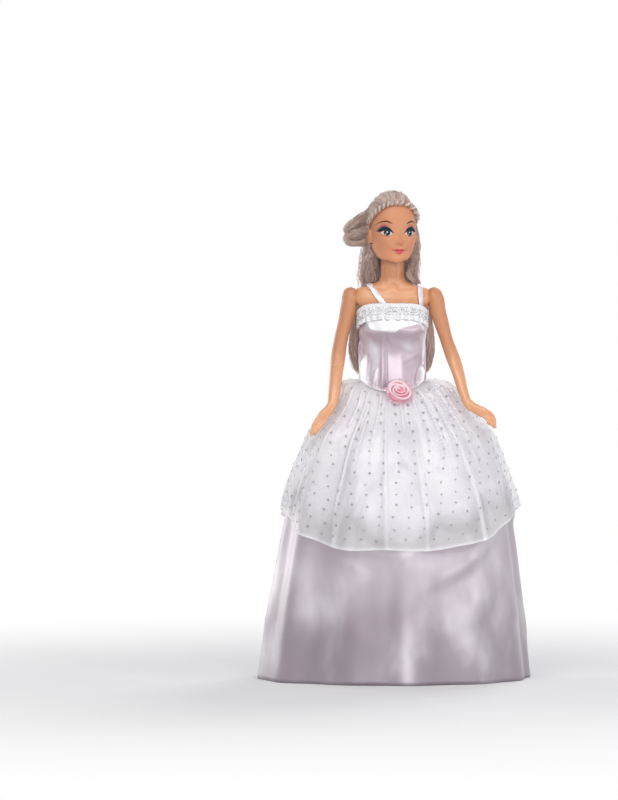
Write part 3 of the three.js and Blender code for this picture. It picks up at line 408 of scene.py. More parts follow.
def melt(obj, voxel, rounds):
    """Remesh and smoothing as modifiers."""
    remesh = obj.modifiers.new("skin", "REMESH")
    remesh.mode = "VOXEL"
    remesh.voxel_size = voxel * MM
    remesh.use_smooth_shade = True
    soft = obj.modifiers.new("soften", "SMOOTH")
    soft.factor = 0.5
    soft.iterations = rounds


def thicken(obj, wall):
    """A wall under the surface."""
    solid = obj.modifiers.new("thickness", "SOLIDIFY")
    solid.thickness = wall * MM
    solid.offset = -1.0
    return settle(obj)


# Finishes: each is a procedural material

class Nodes:
    """A node tree that is filled one call at a time. An input is a constant or another node's output."""

    def __init__(self, tree):
        self.tree = tree
        tree.nodes.clear()

    def add(self, kind, inputs=(), out=0, **settings):
        """One node with its settings and inputs; gives back one of its outputs."""
        node = self.tree.nodes.new("ShaderNode" + kind)
        for key, value in settings.items():
            setattr(node, key, value)
        for key, value in dict(inputs).items():
            if isinstance(value, bpy.types.NodeSocket):
                self.tree.links.new(value, node.inputs[key])
            else:
                node.inputs[key].default_value = value
        return node.outputs[out]

    def place(self):
        return self.add("TexCoord", out=3)

    def height(self):
        return self.add("SeparateXYZ", {0: self.place()}, out=2)

    def uv(self):
        return self.add("TexCoord", out=2)

    def field(self, name):
        return self.add("Attribute", out=2, attribute_name=name)

    def scaled(self, vector, scale, turn=0.0):
        return self.add("Mapping", {"Vector": vector, "Scale": scale, "Rotation": (0, 0, turn)})

    def noise(self, vector, scale, detail=2.0, rough=0.5):
        return self.add("TexNoise", {"Vector": vector, "Scale": scale, "Detail": detail, "Roughness": rough})

    def cloud(self, scale, detail=2.0, rough=0.5):
        """Noise by the place in space."""
        return self.noise(self.place(), scale, detail, rough)

    def grain(self, across, along, detail=2.0, rough=0.5):
        """Noise on the UV, drawn out along the cloth's or the hair's own way."""
        return self.noise(self.scaled(self.uv(), (across, along, 1.0)), 1.0, detail, rough)

    def span(self, value, low, high, to_low=0.0, to_high=1.0):
        """S-shaped step between two values."""
        ends = {0: value, 1: low, 2: high, 3: to_low, 4: to_high}
        return self.add("MapRange", ends, interpolation_type="SMOOTHSTEP")

    def calc(self, kind, a, b=0.5):
        return self.add("Math", {0: a, 1: b}, operation=kind)

    def plus(self, a, b):
        return self.calc("ADD", a, b)

    def times(self, a, b):
        return self.calc("MULTIPLY", a, b)

    def blend(self, factor, a, b):
        return self.add("Mix", {0: factor, 6: a, 7: b}, out=2, data_type="RGBA")

    def seen_plainly(self):
        """1 for rays of the camera, of reflections and of see-through surfaces."""
        ray = self.tree.nodes.new("ShaderNodeLightPath").outputs
        seen = self.calc("MAXIMUM", ray["Is Camera Ray"], ray["Is Glossy Ray"])
        return self.calc("MAXIMUM", seen, ray["Is Transmission Ray"])


class Finish(Nodes):
    """A principled material. Constants are set on the shader itself."""

    def __init__(self, name, **constants):
        self.material = bpy.data.materials.new(name)
        self.material.use_nodes = True
        super().__init__(self.material.node_tree)
        self.surface = self.add("BsdfPrincipled")
        self.shader = self.surface.node
        self.output = self.tree.nodes.new("ShaderNodeOutputMaterial")
        self.tree.links.new(self.surface, self.output.inputs[0])
        for socket, value in constants.items():
            self.shader.inputs[socket.replace("_", " ").title().replace("Ior", "IOR")].default_value = value

    def paint(self, value, socket="Base Color"):
        self.tree.links.new(value, self.shader.inputs[socket])

    def gloss(self, value, low, high):
        """Roughness between low and high, where the value goes from 0.3 to 0.7."""
        self.paint(self.span(value, 0.3, 0.7, low, high), "Roughness")

    def raised(self, height, depth, strength=1.0):
        """Bump of that depth in millimetres; gives back the finished material."""
        self.paint(self.add("Bump", {"Height": height, "Strength": strength, "Distance": depth * MM}), "Normal")
        return self.material


WARM_LIGHT = {"subsurface_weight": 0.12, "subsurface_scale": 0.004, "subsurface_radius": (1.0, 0.35, 0.15)}
WHITE = tint("#ffffff")


def shaded(base, red, green=None, blue=None):
    """A colour with its parts multiplied, all by the first number where one is given."""
    return tuple(min(c * (k or red), 1.0) for c, k in zip(base, (red, green, blue))) + (1.0,)


def skin_plastic(name, base, shine):
    """Moulded plastic: one warm tone with slow clouds, with painted shade darkening the neck under the head, and faint
    mould texture.
    """
    f = Finish(name, **WARM_LIGHT)
    tone = f.blend(f.span(f.cloud(55.0, 3.0), 0.35, 0.75), base, shaded(base, 0.94, 0.86, 0.8))
    # Painted shade: the neck is painted darker below the chin, where the head shades it
    neck = f.span(f.height(), 0.2315, 0.24, 0.0, 0.75)
    f.paint(f.blend(neck, tone, shaded(base, 0.6, 0.5, 0.46)))
    f.gloss(f.cloud(140.0), shine, shine + 0.12)
    return f.raised(f.cloud(900.0, 4.0), 0.03, 0.35)


def arm_plastic(name):
    """Softer plastic of the arms: duller above the elbow and painted darker there as painted shade, glossier and paler
    towards the hand.
    """
    s = bpy.context.scene.doll_body
    f = Finish(name, coat_weight=0.15, coat_roughness=0.12, **WARM_LIGHT)
    # Painted shade above the elbow, blended in by height
    upper = f.span(f.plus(f.height(), f.times(f.cloud(60.0), 0.012)), 0.188, 0.206)
    f.paint(f.blend(upper, s.skin, s.upper_arm_painted_shade))
    f.paint(f.plus(f.span(upper, 0, 1, 0.2, 0.5), f.times(f.cloud(140.0), 0.1)), "Roughness")
    return f.raised(f.cloud(1300.0, 4.0), 0.03, 0.4)


def face_vinyl(name):
    """Soft vinyl with the painted features, each a distance field in millimetres that is inside below zero."""
    s = bpy.context.scene.doll_body
    f = Finish(name, **WARM_LIGHT | {"subsurface_weight": 0.15, "specular_ior_level": 0.25})
    tone = f.blend(f.span(f.cloud(60.0, 3.0), 0.3, 0.8), s.face, shaded(s.face, 0.93))
    # The field chin is a painted highlight: the lower face painted paler
    for label, shade in (("chin", shaded(s.face, 1.16)), ("blush", tint("#e08a6e")), ("shadow", s.shadow)):
        tone = f.blend(f.field(label), tone, shade)
    # Painted layers from the lowest up: field, colour and half the width of the soft edge
    layers = (
        ("crease", tint("#a8604a"), 0.25), ("brow", s.brow, 0.07), ("lid", s.lid, 0.06), ("eye", WHITE, 0.05),
        ("lash", tint("#3a2a30"), 0.05), ("iris", s.iris, 0.05), ("pupil", tint("#04090c"), 0.05),
        ("glint", WHITE, 0.04), ("lips", s.lips, 0.08), ("mouth", tint("#9c2334"), 0.08),
        ("ear_dot", tint("#3b1d16"), 0.06),
    )
    for label, shade, blur in layers:
        tone = f.blend(f.span(f.field(label), blur, -blur), tone, shade)
    f.paint(tone)
    wet = f.calc("MAXIMUM", f.span(f.field("eye"), 0.05, -0.05), f.span(f.field("lips"), 0.1, -0.1))
    f.paint(f.span(wet, 0.0, 1.0, 0.46, 0.24), "Roughness")
    return f.raised(f.cloud(1100.0, 3.0), 0.02, 0.3)


def hair_fibre(name):
    """Fine glossy fibre: light, middle and dark strands side by side along the comb, from noise that is
    stretched along the strand's way in the UV, and a tone of its own for each modelled strand."""
    s = bpy.context.scene.doll_hair
    f = Finish(name, anisotropic=0.6, specular_ior_level=0.55, sheen_weight=0.15, sheen_roughness=0.4)
    fine = f.grain(900.0, 4.0, 3.0, 0.6)
    value = f.plus(f.times(fine, 0.5), f.times(f.grain(60.0, 2.5), 0.3))
    value = f.plus(value, f.times(f.field("tone"), 0.2))
    tone = f.blend(f.span(value, 0.3, 0.55), s.dark, s.middle)
    f.paint(f.blend(f.span(value, 0.5, 0.72), tone, s.light))
    f.gloss(fine, 0.3, 0.46)
    return f.raised(fine, 0.12, 0.6)


def satin_cloth(name, bright, shade, low=None, low_shade=None):
    """Satin: long bright floats across a shaded ground, with a fine twill line and soft clouds of tone. It is painted
    white, a painted highlight, where the field strain says so. A skirt instead has painted shade: greyer below its
    drapes, from the field drape, and darker towards the floor, with painted sheen in soft bright patches drawn out
    downwards."""
    soft = 0.12 if low else 0.03
    f = Finish(name, anisotropic=0.5, specular_ior_level=1.0, sheen_weight=0.2, sheen_roughness=0.3,
               coat_weight=0.5, coat_roughness=0.2 + soft, metallic=0.2)
    line = f.grain(160.0, 4200.0)
    value = f.plus(f.times(line, 0.1), f.times(f.cloud(42.0, 3.0), 0.9))
    tone = f.blend(f.span(value, 0.38, 0.66), shade, bright)
    if low:
        # Painted sheen and painted shade: bright noise patches drawn out downwards, the satin darker towards the floor
        patch = f.noise(f.scaled(f.place(), (30.0, 30.0, 17.0)), 1.0, 3.0, 0.45)
        floor_shade_height = f.plus(f.height(), f.times(f.calc("SUBTRACT", patch, 0.5), 0.05))
        ground = f.blend(f.span(floor_shade_height, 0.015, 0.07), low_shade, low)
        ground = f.blend(f.span(patch, 0.5, 0.72, 0.0, 0.42), ground, bright)
        # Painted shade below the drapes, from the field drape
        tone = f.blend(f.times(f.field("drape_painted_shade"), f.span(patch, 0.35, 0.65, 1.0, 0.85)), tone, ground)
    else:
        # Painted highlight: white where the field strain is high
        tone = f.blend(f.times(f.field("painted_highlight"), 0.85), tone, WHITE)
    f.paint(tone)
    f.gloss(line, 0.25 + soft, 0.33 + soft)
    return f.raised(line, 0.006, 0.15)


def tulle_net(name):
    """Sheer net: three sets of threads in the cloth's own metres, which leave small holes with a haze of fibre.
    The field fold makes the net denser on the crest of a fold, where the layers lie close."""
    f = Finish(name, roughness=0.5, sheen_weight=0.4, sheen_roughness=0.4, specular_ior_level=0.5)
    threads = []
    for turn in (0.0, 60.0, 120.0):
        x = f.add("SeparateXYZ", {0: f.scaled(f.uv(), (1.0, 1.0, 1.0), math.radians(turn))})
        wave = f.calc("ABSOLUTE", f.calc("SINE", f.times(x, math.pi / (0.8 * MM))), 0.0)
        threads.append(f.span(wave, 0.5, 0.08))
    net = f.calc("MAXIMUM", f.calc("MAXIMUM", *threads[:2]), threads[2])
    veil = f.plus(f.span(f.cloud(30.0), 0.35, 0.7, 0.2, 0.32), f.times(net, 0.3))
    f.paint(f.calc("MINIMUM", f.plus(veil, f.times(f.field("fold"), 0.5)), 0.96), "Alpha")
    f.paint(f.blend(net, tint("#f4f3f8"), bpy.context.scene.doll_gown.tulle))
    return f.raised(net, 0.05, 0.4)


def silver_trim(name, ground, thread, cell):
    """Metallic thread on white: crossing cells of silver with sparks of light and shade."""
    f = Finish(name, metallic=0.3, specular_ior_level=0.8)
    cells = f.add("TexVoronoi", {"Vector": f.place(), "Scale": 1 / (cell * MM)}, feature="DISTANCE_TO_EDGE")
    edge = f.span(cells, 0.0, 0.16, 1.0, 0.0)
    spark = f.cloud(2400.0)
    f.paint(f.blend(f.span(spark, 0.58, 0.68), f.blend(edge, ground, thread), WHITE))
    f.paint(f.span(spark, 0.35, 0.65, 0.15, 0.5), "Roughness")
    return f.raised(f.plus(edge, spark), 0.12, 0.8)


def silver_lace(name):
    """Lace: white net with motifs worked in silver thread. The field silver says where the thread is; the thread
    has sparks of light and of shade."""
    f = Finish(name, specular_ior_level=0.7, sheen_weight=0.3)
    thread = f.span(f.field("silver"), 0.45, 0.75)
    spark = f.cloud(1500.0, 2.0, 0.6)
    silver = f.blend(f.span(spark, 0.42, 0.6), tint("#90949c"), tint("#f8fafc"))
    ground = f.blend(f.span(f.cloud(2600.0), 0.4, 0.6), tint("#dfdde6"), WHITE)
    f.paint(f.blend(thread, ground, silver))
    f.paint(f.times(thread, 0.5), "Metallic")
    f.paint(f.calc("SUBTRACT", f.span(spark, 0.3, 0.7, 0.4, 0.6), f.times(thread, 0.22)), "Roughness")
    return f.raised(f.plus(thread, spark), 0.14, 0.8)


def rose_ribbon(name):
    """Pink satin ribbon with painted shade inside the turns and a painted highlight on its rolled edge, from the field
    depth.
    """
    s = bpy.context.scene.doll_gown
    f = Finish(name, anisotropic=0.4, specular_ior_level=0.7, sheen_weight=0.3, coat_weight=0.3, coat_roughness=0.2)
    line = f.grain(900.0, 60.0)
    # Painted shade inside the turns, and a painted highlight that makes the rolled edge paler
    tone = f.blend(f.span(f.field("depth"), 0.05, 0.75), s.rose_painted_shade, s.rose)
    tone = f.blend(f.span(f.field("depth"), 0.72, 1.0, 0.0, 0.75), tone, tint("#ffe6ec"))
    f.paint(f.blend(f.span(line, 0.5, 0.8, 0.0, 0.35), tone, tint("#ffdfe6")))
    f.gloss(line, 0.26, 0.38)
    return f.raised(line, 0.03, 0.4)


def rose_sheer(name):
    """Sheer pink ribbon: a haze with fine threads."""
    f = Finish(name, roughness=0.5, sheen_weight=0.3)
    line = f.grain(500.0, 40.0)
    f.paint(f.blend(line, tint("#fba9be"), tint("#fddde5")))
    f.paint(f.span(line, 0.3, 0.7, 0.4, 0.66), "Alpha")
    return f.raised(line, 0.05, 0.4)


def hard_plastic(name, base, shine):
    """Glossy moulded plastic for small parts, with faint flow clouds."""
    f = Finish(name, specular_ior_level=0.5)
    clouds = f.cloud(90.0, 3.0)
    f.paint(f.blend(f.span(clouds, 0.35, 0.75), base, shaded(base, 0.88)))
    f.gloss(clouds, shine, shine + 0.1)
    return f.raised(f.cloud(700.0, 3.0), 0.03, 0.3)


def finish_of(name):
    """The finish of that name, made once."""
    body, gown = bpy.context.scene.doll_body, bpy.context.scene.doll_gown
    maker, *values = {
        "body_plastic": (skin_plastic, body.skin, 0.24),
        "arm_plastic": (arm_plastic,),
        "face_vinyl": (face_vinyl,),
        "hair": (hair_fibre,),
        "satin": (satin_cloth, gown.satin_shade, gown.bodice),
        "ribbon": (satin_cloth, WHITE, gown.satin_shade),
        "skirt_satin": (satin_cloth, gown.satin, gown.satin_shade, gown.hem, gown.hem_shade),
        "tulle": (tulle_net,),
        "silver_lace": (silver_lace,),
        "silver_dot": (silver_trim, tint("#c3c8d0"), tint("#666c76"), 0.35),
        "rose_ribbon": (rose_ribbon,),
        "rose_sheer": (rose_sheer,),
        "hip_nylon": (hard_plastic, tint("#ddd7cc"), 0.4),
        "shoe_plastic": (hard_plastic, tint("#f2eef0"), 0.2),
    }[name]
    return bpy.data.materials.get(f"doll_{name}") or maker(f"doll_{name}", *values)


def dress(obj, body, finish, replaces=()):
    """Gives a finished piece its material, hides the constructed nodes that it stands for, and hangs it on the body
    that it rides on.
    """
    obj.data.materials.clear()
    obj.data.materials.append(finish_of(finish))
    if replaces:
        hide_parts(*replaces)
    if body:
        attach(obj, body)
    return obj


# Body

def body_sections():
    """Rows of height, half width, depth in front and depth behind."""
    hip, waist, chest, shoulder = (21.5, 12.5), (16.0, 9.3), (18.6, 11.0), (SHOULDER_HALF, 8.6)
    n = NECK_RADIUS
    return [
        [CROTCH, LEG_SPLIT, hip[1] * 0.4, hip[1] * 0.45],
        [mix(CROTCH, HIP, 0.35), hip[0] * 0.72, hip[1] * 0.78, hip[1] * 0.9],
        [HIP, hip[0], hip[1] * 0.92, hip[1] * 1.06],
        [mix(HIP, WAIST, 0.45), hip[0] * 0.93, hip[1] * 0.86, hip[1] * 0.9],
        [WAIST, waist[0], waist[1], waist[1]],
        [mix(WAIST, BUST, 0.5), waist[0] * 1.06, mix(waist[1], chest[1], 0.5), chest[1] * 0.92],
        [BUST, chest[0], chest[1], chest[1]],
        [mix(BUST, SHOULDER, 0.55), chest[0] * 1.04, chest[1] * 0.9, chest[1] * 0.95],
        [SHOULDER, shoulder[0] * 1.1, shoulder[1], shoulder[1] * 1.05],
        [mix(SHOULDER, NECK, 0.52), shoulder[0] * 0.99, shoulder[1] * 0.78, shoulder[1] * 0.9],
        [mix(SHOULDER, NECK, 0.76), n * 2, n * 1.02, n * 1.05],
        [NECK, n * 1.22, n * 1.04, n * 1.04],
        [mix(NECK, JAW, 0.4), n * 1.08, n * 1.02, n],
        [JAW, n * 1.08, n * 1.02, n], [JAW + NECK_STUB, n * 1.03, n, n * 0.97],
    ]


SECTIONS = body_sections()


def body_oval(turn, half, front, back, out=0.0):
    """Squared oval with a depth of its own in front and behind, moved out."""
    x = (half + out) * bend(np.cos(turn), BODY_POWER)
    return x, (np.where(np.sin(turn) < 0, front, back) + out) * bend(np.sin(turn), BODY_POWER)


def body_point(turn, height):
    """Skin of the body: an oval at each height, with two bells pushed forward for the breasts, and flat faces
    where the arms sit."""
    half, front, back = np.moveaxis(along(SECTIONS, height), -1, 0)
    x, y = body_oval(turn, half, front, back)
    lift = sum(bump(x, side * BREAST_APART, BREAST_SPREAD) * bump(height, BUST, BREAST_SPREAD) for side in (-1, 1))
    y = np.where(y < 0, y - np.clip(-y / (front * 0.5), 0, 1) * BREAST * lift, y)
    shoulder = (height > BUST) & (height < NECK)
    x = np.where(shoulder, np.clip(x, -SHOULDER_HALF, SHOULDER_HALF), x)
    return np.stack([x, y, np.broadcast_to(height, x.shape)], -1)


def make_body():
    """Torso and neck. A fine groove at y = 0 is the joint between the two moulded halves. The leg openings are cut
    as the construction has them: a disc over the hip, open below."""
    turn, height = np.meshgrid(ring(180), np.linspace(CROTCH, JAW + NECK_STUB, 194))
    grid = body_point(turn, height)
    seam = bump(np.sin(turn), 0, 0.02)
    x, y, z = np.moveaxis(grid, -1, 0)
    front = smooth(-1.0, -4.0, y)
    s = np.abs(x)
    # Collar bones, the hollow between them with the dips above, and the cords of the neck
    bone = 0.75 * bump(z, 231.0 + 0.16 * s, 1.3) * smooth(2.2, 5.0, s) * smooth(19.0, 13.0, s)
    throat = -0.7 * bump(x, 0, 2.2) * bump(z, 232.5, 2.4) - 0.4 * bump(z, 234.6 + 0.2 * s, 1.6) * bump(s, 9.0, 4.0)
    cords = 0.3 * bump(s, 2.8 + 0.25 * np.maximum(z - 236, 0), 1.1) * bump(z, 239.5, 5.0)
    grid[..., :2] *= 1 - 0.006 * seam[..., None]
    grid[..., 1] -= front * (bone + throat + cords)
    body = surface("body_skin", grid, ends=True)
    reach = HIP_DISC + TURN_GAP + FIT_GAP
    outline = [(-60, CROTCH - 60), (-60, HIP + reach * 0.86), (-reach * 0.5, HIP + reach * 0.866)]
    outline += [(reach * math.cos(a), HIP + reach * math.sin(a)) for a in np.radians(np.linspace(120, 0, 40))[1:]]
    yz = np.array(outline + [(reach + 60, HIP - 60), (reach + 60, CROTCH - 60)])
    cutters = []
    for side in (-1, 1):
        ends = sorted((side * (LEG_SPLIT - TURN_GAP), side * 60.0))
        cutter = np.stack([np.column_stack([np.full(len(yz), x), yz]) for x in ends])
        cutters.append(surface(f"leg_cut_{side}", cutter, ends=True))
    for cutter in cutters:
        cut = body.modifiers.new("legs", "BOOLEAN")
        cut.operation = "DIFFERENCE"
        cut.object = cutter
        cut.solver = "EXACT"
    settle(body)
    for cutter in cutters:
        bpy.data.objects.remove(cutter)
    body.data.set_sharp_from_angle(angle=math.radians(40))
    dress(body, "torso", "body_plastic", replaces=("torso_front", "torso_back"))


# Rows of the arms: shares of the length down, of the reach out and of the way forward, then half width and half
# depth in radii of the upper arm. Rows of the hands have the first three only.
ARMS = {
    "right": {
        "side": -1, "reach": 27.4,
        "rows": [
            [-0.083, 0.1, 0, 0.12, 0.12], [-0.07, 0.1, 0, 0.62, 0.62], [-0.035, 0.1, 0, 0.92, 1.0],
            [0.0, 0.1, 0, 1.02, 1.14], [0.07, 0.14, 0.01, 0.98, 1.08], [0.16, 0.2, 0.03, 0.9, 0.98],
            [0.3, 0.315, 0.1, 0.79, 0.86], [0.43, 0.375, 0.22, 0.83, 0.82], [0.55, 0.42, 0.42, 0.76, 0.74],
            [0.68, 0.46, 0.62, 0.7, 0.62], [0.775, 0.5, 0.74, 0.56, 0.5],
        ],
        "hand": [[0.74, 0.485, 0.7], [0.8, 0.56, 0.78], [0.875, 0.74, 0.88], [1, 1, 1]],
    },
    "left": {
        "side": 1, "reach": 37.8,
        "rows": [
            [-0.083, 0.07, 0, 0.12, 0.12], [-0.07, 0.07, 0, 0.62, 0.62], [-0.035, 0.075, 0, 0.92, 1.0],
            [0.0, 0.09, 0, 1.02, 1.14], [0.07, 0.115, 0.01, 0.98, 1.08], [0.16, 0.17, 0.03, 0.9, 0.98],
            [0.3, 0.262, 0.1, 0.76, 0.86], [0.43, 0.36, 0.2, 0.83, 0.82], [0.55, 0.44, 0.38, 0.72, 0.74],
            [0.68, 0.51, 0.56, 0.6, 0.6], [0.775, 0.585, 0.68, 0.54, 0.5],
        ],
        "hand": [[0.745, 0.565, 0.64], [0.79, 0.66, 0.73], [0.84, 0.87, 0.84], [0.95, 1, 0.97]],
    },
}
FORWARD_SHARE = 0.354


def make_arm(name):
    """Upper arm and forearm as level ovals down a bent line, a palm and five fingers swept along the hand's curve,
    all melted into one skin."""
    spec = ARMS[name]
    side, reach = spec["side"], spec["reach"]

    def placed(rows):
        """Points of rows of shares."""
        rows = np.asarray(rows, float)
        return np.stack([side * (SHOULDER_HALF + TURN_GAP + reach * rows[:, 1]),
                         -ARM_LENGTH * FORWARD_SHARE * rows[:, 2], SHOULDER - ARM_LENGTH * rows[:, 0]], -1)

    rows = np.array(spec["rows"])
    tip = rows[-1] + (rows[-1] - rows[-2]) * 0.45
    tip[3:] = rows[-1, 3:] * 0.45
    rows = np.vstack([rows, tip])
    down = np.linspace(rows[0, 0], rows[-1, 0], 90)
    even = np.column_stack([down, along(rows, down)])
    wide, deep = even[:, 3:4] * (1, 0, 0), even[:, 4:5] * (0, 1, 0)
    limb = placed(even)[:, None] + UPPER_ARM * spokes(ring(48), wide, deep)
    limb[..., 0] = side * np.maximum(side * limb[..., 0], SHOULDER_HALF + 0.2)
    hand = placed(spec["hand"])
    heading = unit(hand[3] - hand[1])
    through = unit(np.array([0, 1, 0]) - heading[1] * heading)
    across = unit(np.cross(heading, through))
    t = np.linspace(0, 1, 24)
    palm = along([[0, UPPER_ARM * 0.52, UPPER_ARM * 0.5], [0.35, FINGER * 3.5, FINGER * 2.6],
                  [0.75, FINGER * 3.8, FINGER * 1.7], [1, FINGER * 3.0, FINGER]], t)
    grids = [limb, sweep(curve(hand[:3], t), palm[:, 0], palm[:, 1], across, 24)]

    def finger(stations, widths, knuckles=1.0):
        """One finger through stations of a share of the hand's curve, a distance beside it and one above it."""
        points = [curve(hand, np.array([share]))[0] + across * gap * FINGER + through * lift
                  for share, gap, lift in stations]
        width = FINGER * along(widths, t)[:, 0] * knuckles
        grids.append(sweep(curve(points, t), width, width, across, 16))

    knuckles = 1 + 0.1 * bump(t, 0.55, 0.07) + 0.08 * bump(t, 0.8, 0.06)
    for place, tip in ((-1.5, 0.88), (-0.5, 0.97), (0.5, 1.0), (1.5, 0.93)):
        finger([(0.5, place * 1.7, 0), (mix(0.5, tip, 0.55), place * 1.95, 0), (tip, place * 1.55, 0)],
               [[0, 1.1], [0.8, 0.93], [0.95, 0.72], [1, 0.3]], knuckles)
    finger([(0.2, -1, FINGER), (0.45, -3.1, FINGER), (0.66, -3.3, FINGER)],
           [[0, 1], [0.75, 1], [0.95, 0.75], [1, 0.3]])
    arm = fused(f"{name}_arm_skin", grids, 0.24, 6)
    dress(arm, f"{name}_arm", "arm_plastic", replaces=(f"{name}_arm",))
    place, radius = np.array([(-0.3, 4.4), (0.0, 4.6), (0.9, 4.6)]).T[..., None]
    peg = np.array((0, 0, SHOULDER)) + side * (SHOULDER_HALF + place[:, None]) * (1, 0, 0)
    peg = surface(f"{name}_arm_peg", peg + spokes(ring(40), radius * (0, 1, 0), radius * (0, 0, 1)), ends=True)
    dress(peg, f"{name}_arm", "arm_plastic")


def finish_carried_nodes():
    """Legs, shoes and hip rod stay as constructed: their facets are melted smooth and they get their finishes."""
    for name, finish, voxel, rounds in (
            ("right_leg", "body_plastic", 0.65, 9), ("left_leg", "body_plastic", 0.65, 9),
            ("right_shoe", "shoe_plastic", 0.33, 8), ("left_shoe", "shoe_plastic", 0.33, 8),
            ("hip_rod", "hip_nylon", 0.3, 3)):
        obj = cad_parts[name]
        weld = obj.modifiers.new("weld", "WELD")
        weld.merge_threshold = 0.002 * MM
        melt(obj, voxel, rounds)
        obj.data.materials.clear()
        obj.data.materials.append(finish_of(finish))


# Head and face

# Bells on the head: a place in shares of the half width, front and lower height, then rise, width and height.
# One beside the middle is there on both sides. Below the chin, chin, jaw's corners, tip and bridge of the nose, eye
# sockets, mouth, cheeks, ears.
FACE_SHARES = [
    (side * x, *rest) for x, *rest in (
        (0, -0.66, -1.0, 0.145, 0.24, 0.2), (0, -0.86, -0.97, 0.02, 0.16, 0.1),
        (0.62, -0.3, -0.8, 0.05, 0.26, 0.24), (0, -1, -0.33, 0.15, 0.085, 0.08), (0, -1, -0.1, 0.05, 0.07, 0.16),
        (0.5, -1, 0.0, -0.06, 0.17, 0.12), (0, -1, -0.62, 0.055, 0.16, 0.065),
        (0.52, -0.85, -0.37, 0.045, 0.24, 0.2), (1, 0.12, -0.18, 0.12, 0.09, 0.16))
    for side in ((1, -1) if x else (1,))]
HEAD_MIDDLE = np.array([0, -HEAD_FORWARD, EYES])


def head_radius(direction):
    """Distance from the head's middle to its skin: a squared ball with a soft bell for each feature."""
    dx, dy, dz = np.moveaxis(direction, -1, 0)
    deep = np.where(dy < 0, HEAD_FRONT, HEAD_BACK)
    tall = np.where(dz < 0, HEAD_BELOW, HEAD_ABOVE - HAIR_DEPTH * 0.4)
    oval = (np.abs(dx / HEAD_HALF) ** HEAD_POWER + np.abs(dy / deep) ** HEAD_POWER
            + np.abs(dz / tall) ** HEAD_POWER) ** (-1 / HEAD_POWER)
    for x, y, z, rise, wide, high in FACE_SHARES:
        target = unit(np.array([x * HEAD_HALF, y * HEAD_FRONT, z * HEAD_BELOW]))
        across = unit(np.cross([0, 0, 1], target))
        up = np.cross(target, across)
        a, b = direction @ across / wide, direction @ up / high
        oval = oval + np.where(direction @ target > 0, rise * HEAD_HALF * np.exp(-a * a - b * b), 0)
    return oval


def face_relief(x, z):
    """Fine forms of the face in millimetres, as bells over its front view; z counts from the eyes' height."""
    s, line = np.abs(x), mouth_line(x)
    rows = (
        # eyeball, socket's crease, upper lid, lower lid, brow
        (0.35, 7.1, 3.0, -0.4, 1.9), (-0.3, 7.4, 3.6, 3.3 - 0.08 * (s - 7.4) ** 2, 0.45),
        (0.3, 7.3, 3.5, 1.5 - 0.1 * (s - 7.3) ** 2, 0.5), (-0.25, 7.1, 3.0, -2.8 + 0.06 * (s - 7.1) ** 2, 0.4),
        (0.4, 8.6, 4.2, 5.4 - 0.1 * (s - 8.3) ** 2, 0.8),
        # nose's tip, its wings, nostrils, the groove beside them, the groove above the lip
        (0.5, 0, 1.5, -6.4, 1.4), (0.45, 2.0, 0.85, -7.3, 0.9), (-0.8, 1.15, 0.5, -8.2, 0.35),
        (-0.4, 3.2, 0.6, -7.4, 1.1), (-0.2, 0, 0.5, -9.5, 0.8),
        # upper lip, lower lip, line between them, corners, hollow above the chin
        (0.3, 1.4, 1.7, line + 0.75, 0.6), (0.55, 0, 2.0, line - 1.15, 0.85), (-0.5, 0, 3.2, line, 0.26),
        (-0.35, 4.5, 0.7, line, 0.6), (-0.4, 0, 2.4, line - 3.1, 0.8),
    )
    return sum(rise * bump(s, place, wide) * bump(z, up, high) for rise, place, wide, up, high in rows)


def ear_relief(x, y, z):
    """Ears: an oval rim round a hollow, with a small lobe below; only at the sides."""
    around = np.hypot((y - 1.4) / 2.1, (z + 2.9) / 4.5)
    rim = 1.5 * smooth(1.12, 0.86, around) - 1.1 * smooth(0.74, 0.5, around) * smooth(-6.2, -4.6, z)
    tragus = 0.5 * bump(y, -0.3, 0.7) * bump(z, -3.4, 1.0)
    return (rim + tragus) * smooth(8.5, 10.5, np.abs(x))


def mouth_line(x):
    """Height of the line between the lips."""
    return -11.6 + 0.3 * (x / 4.3) ** 2 - 0.12 * bump(x, 0, 0.9)


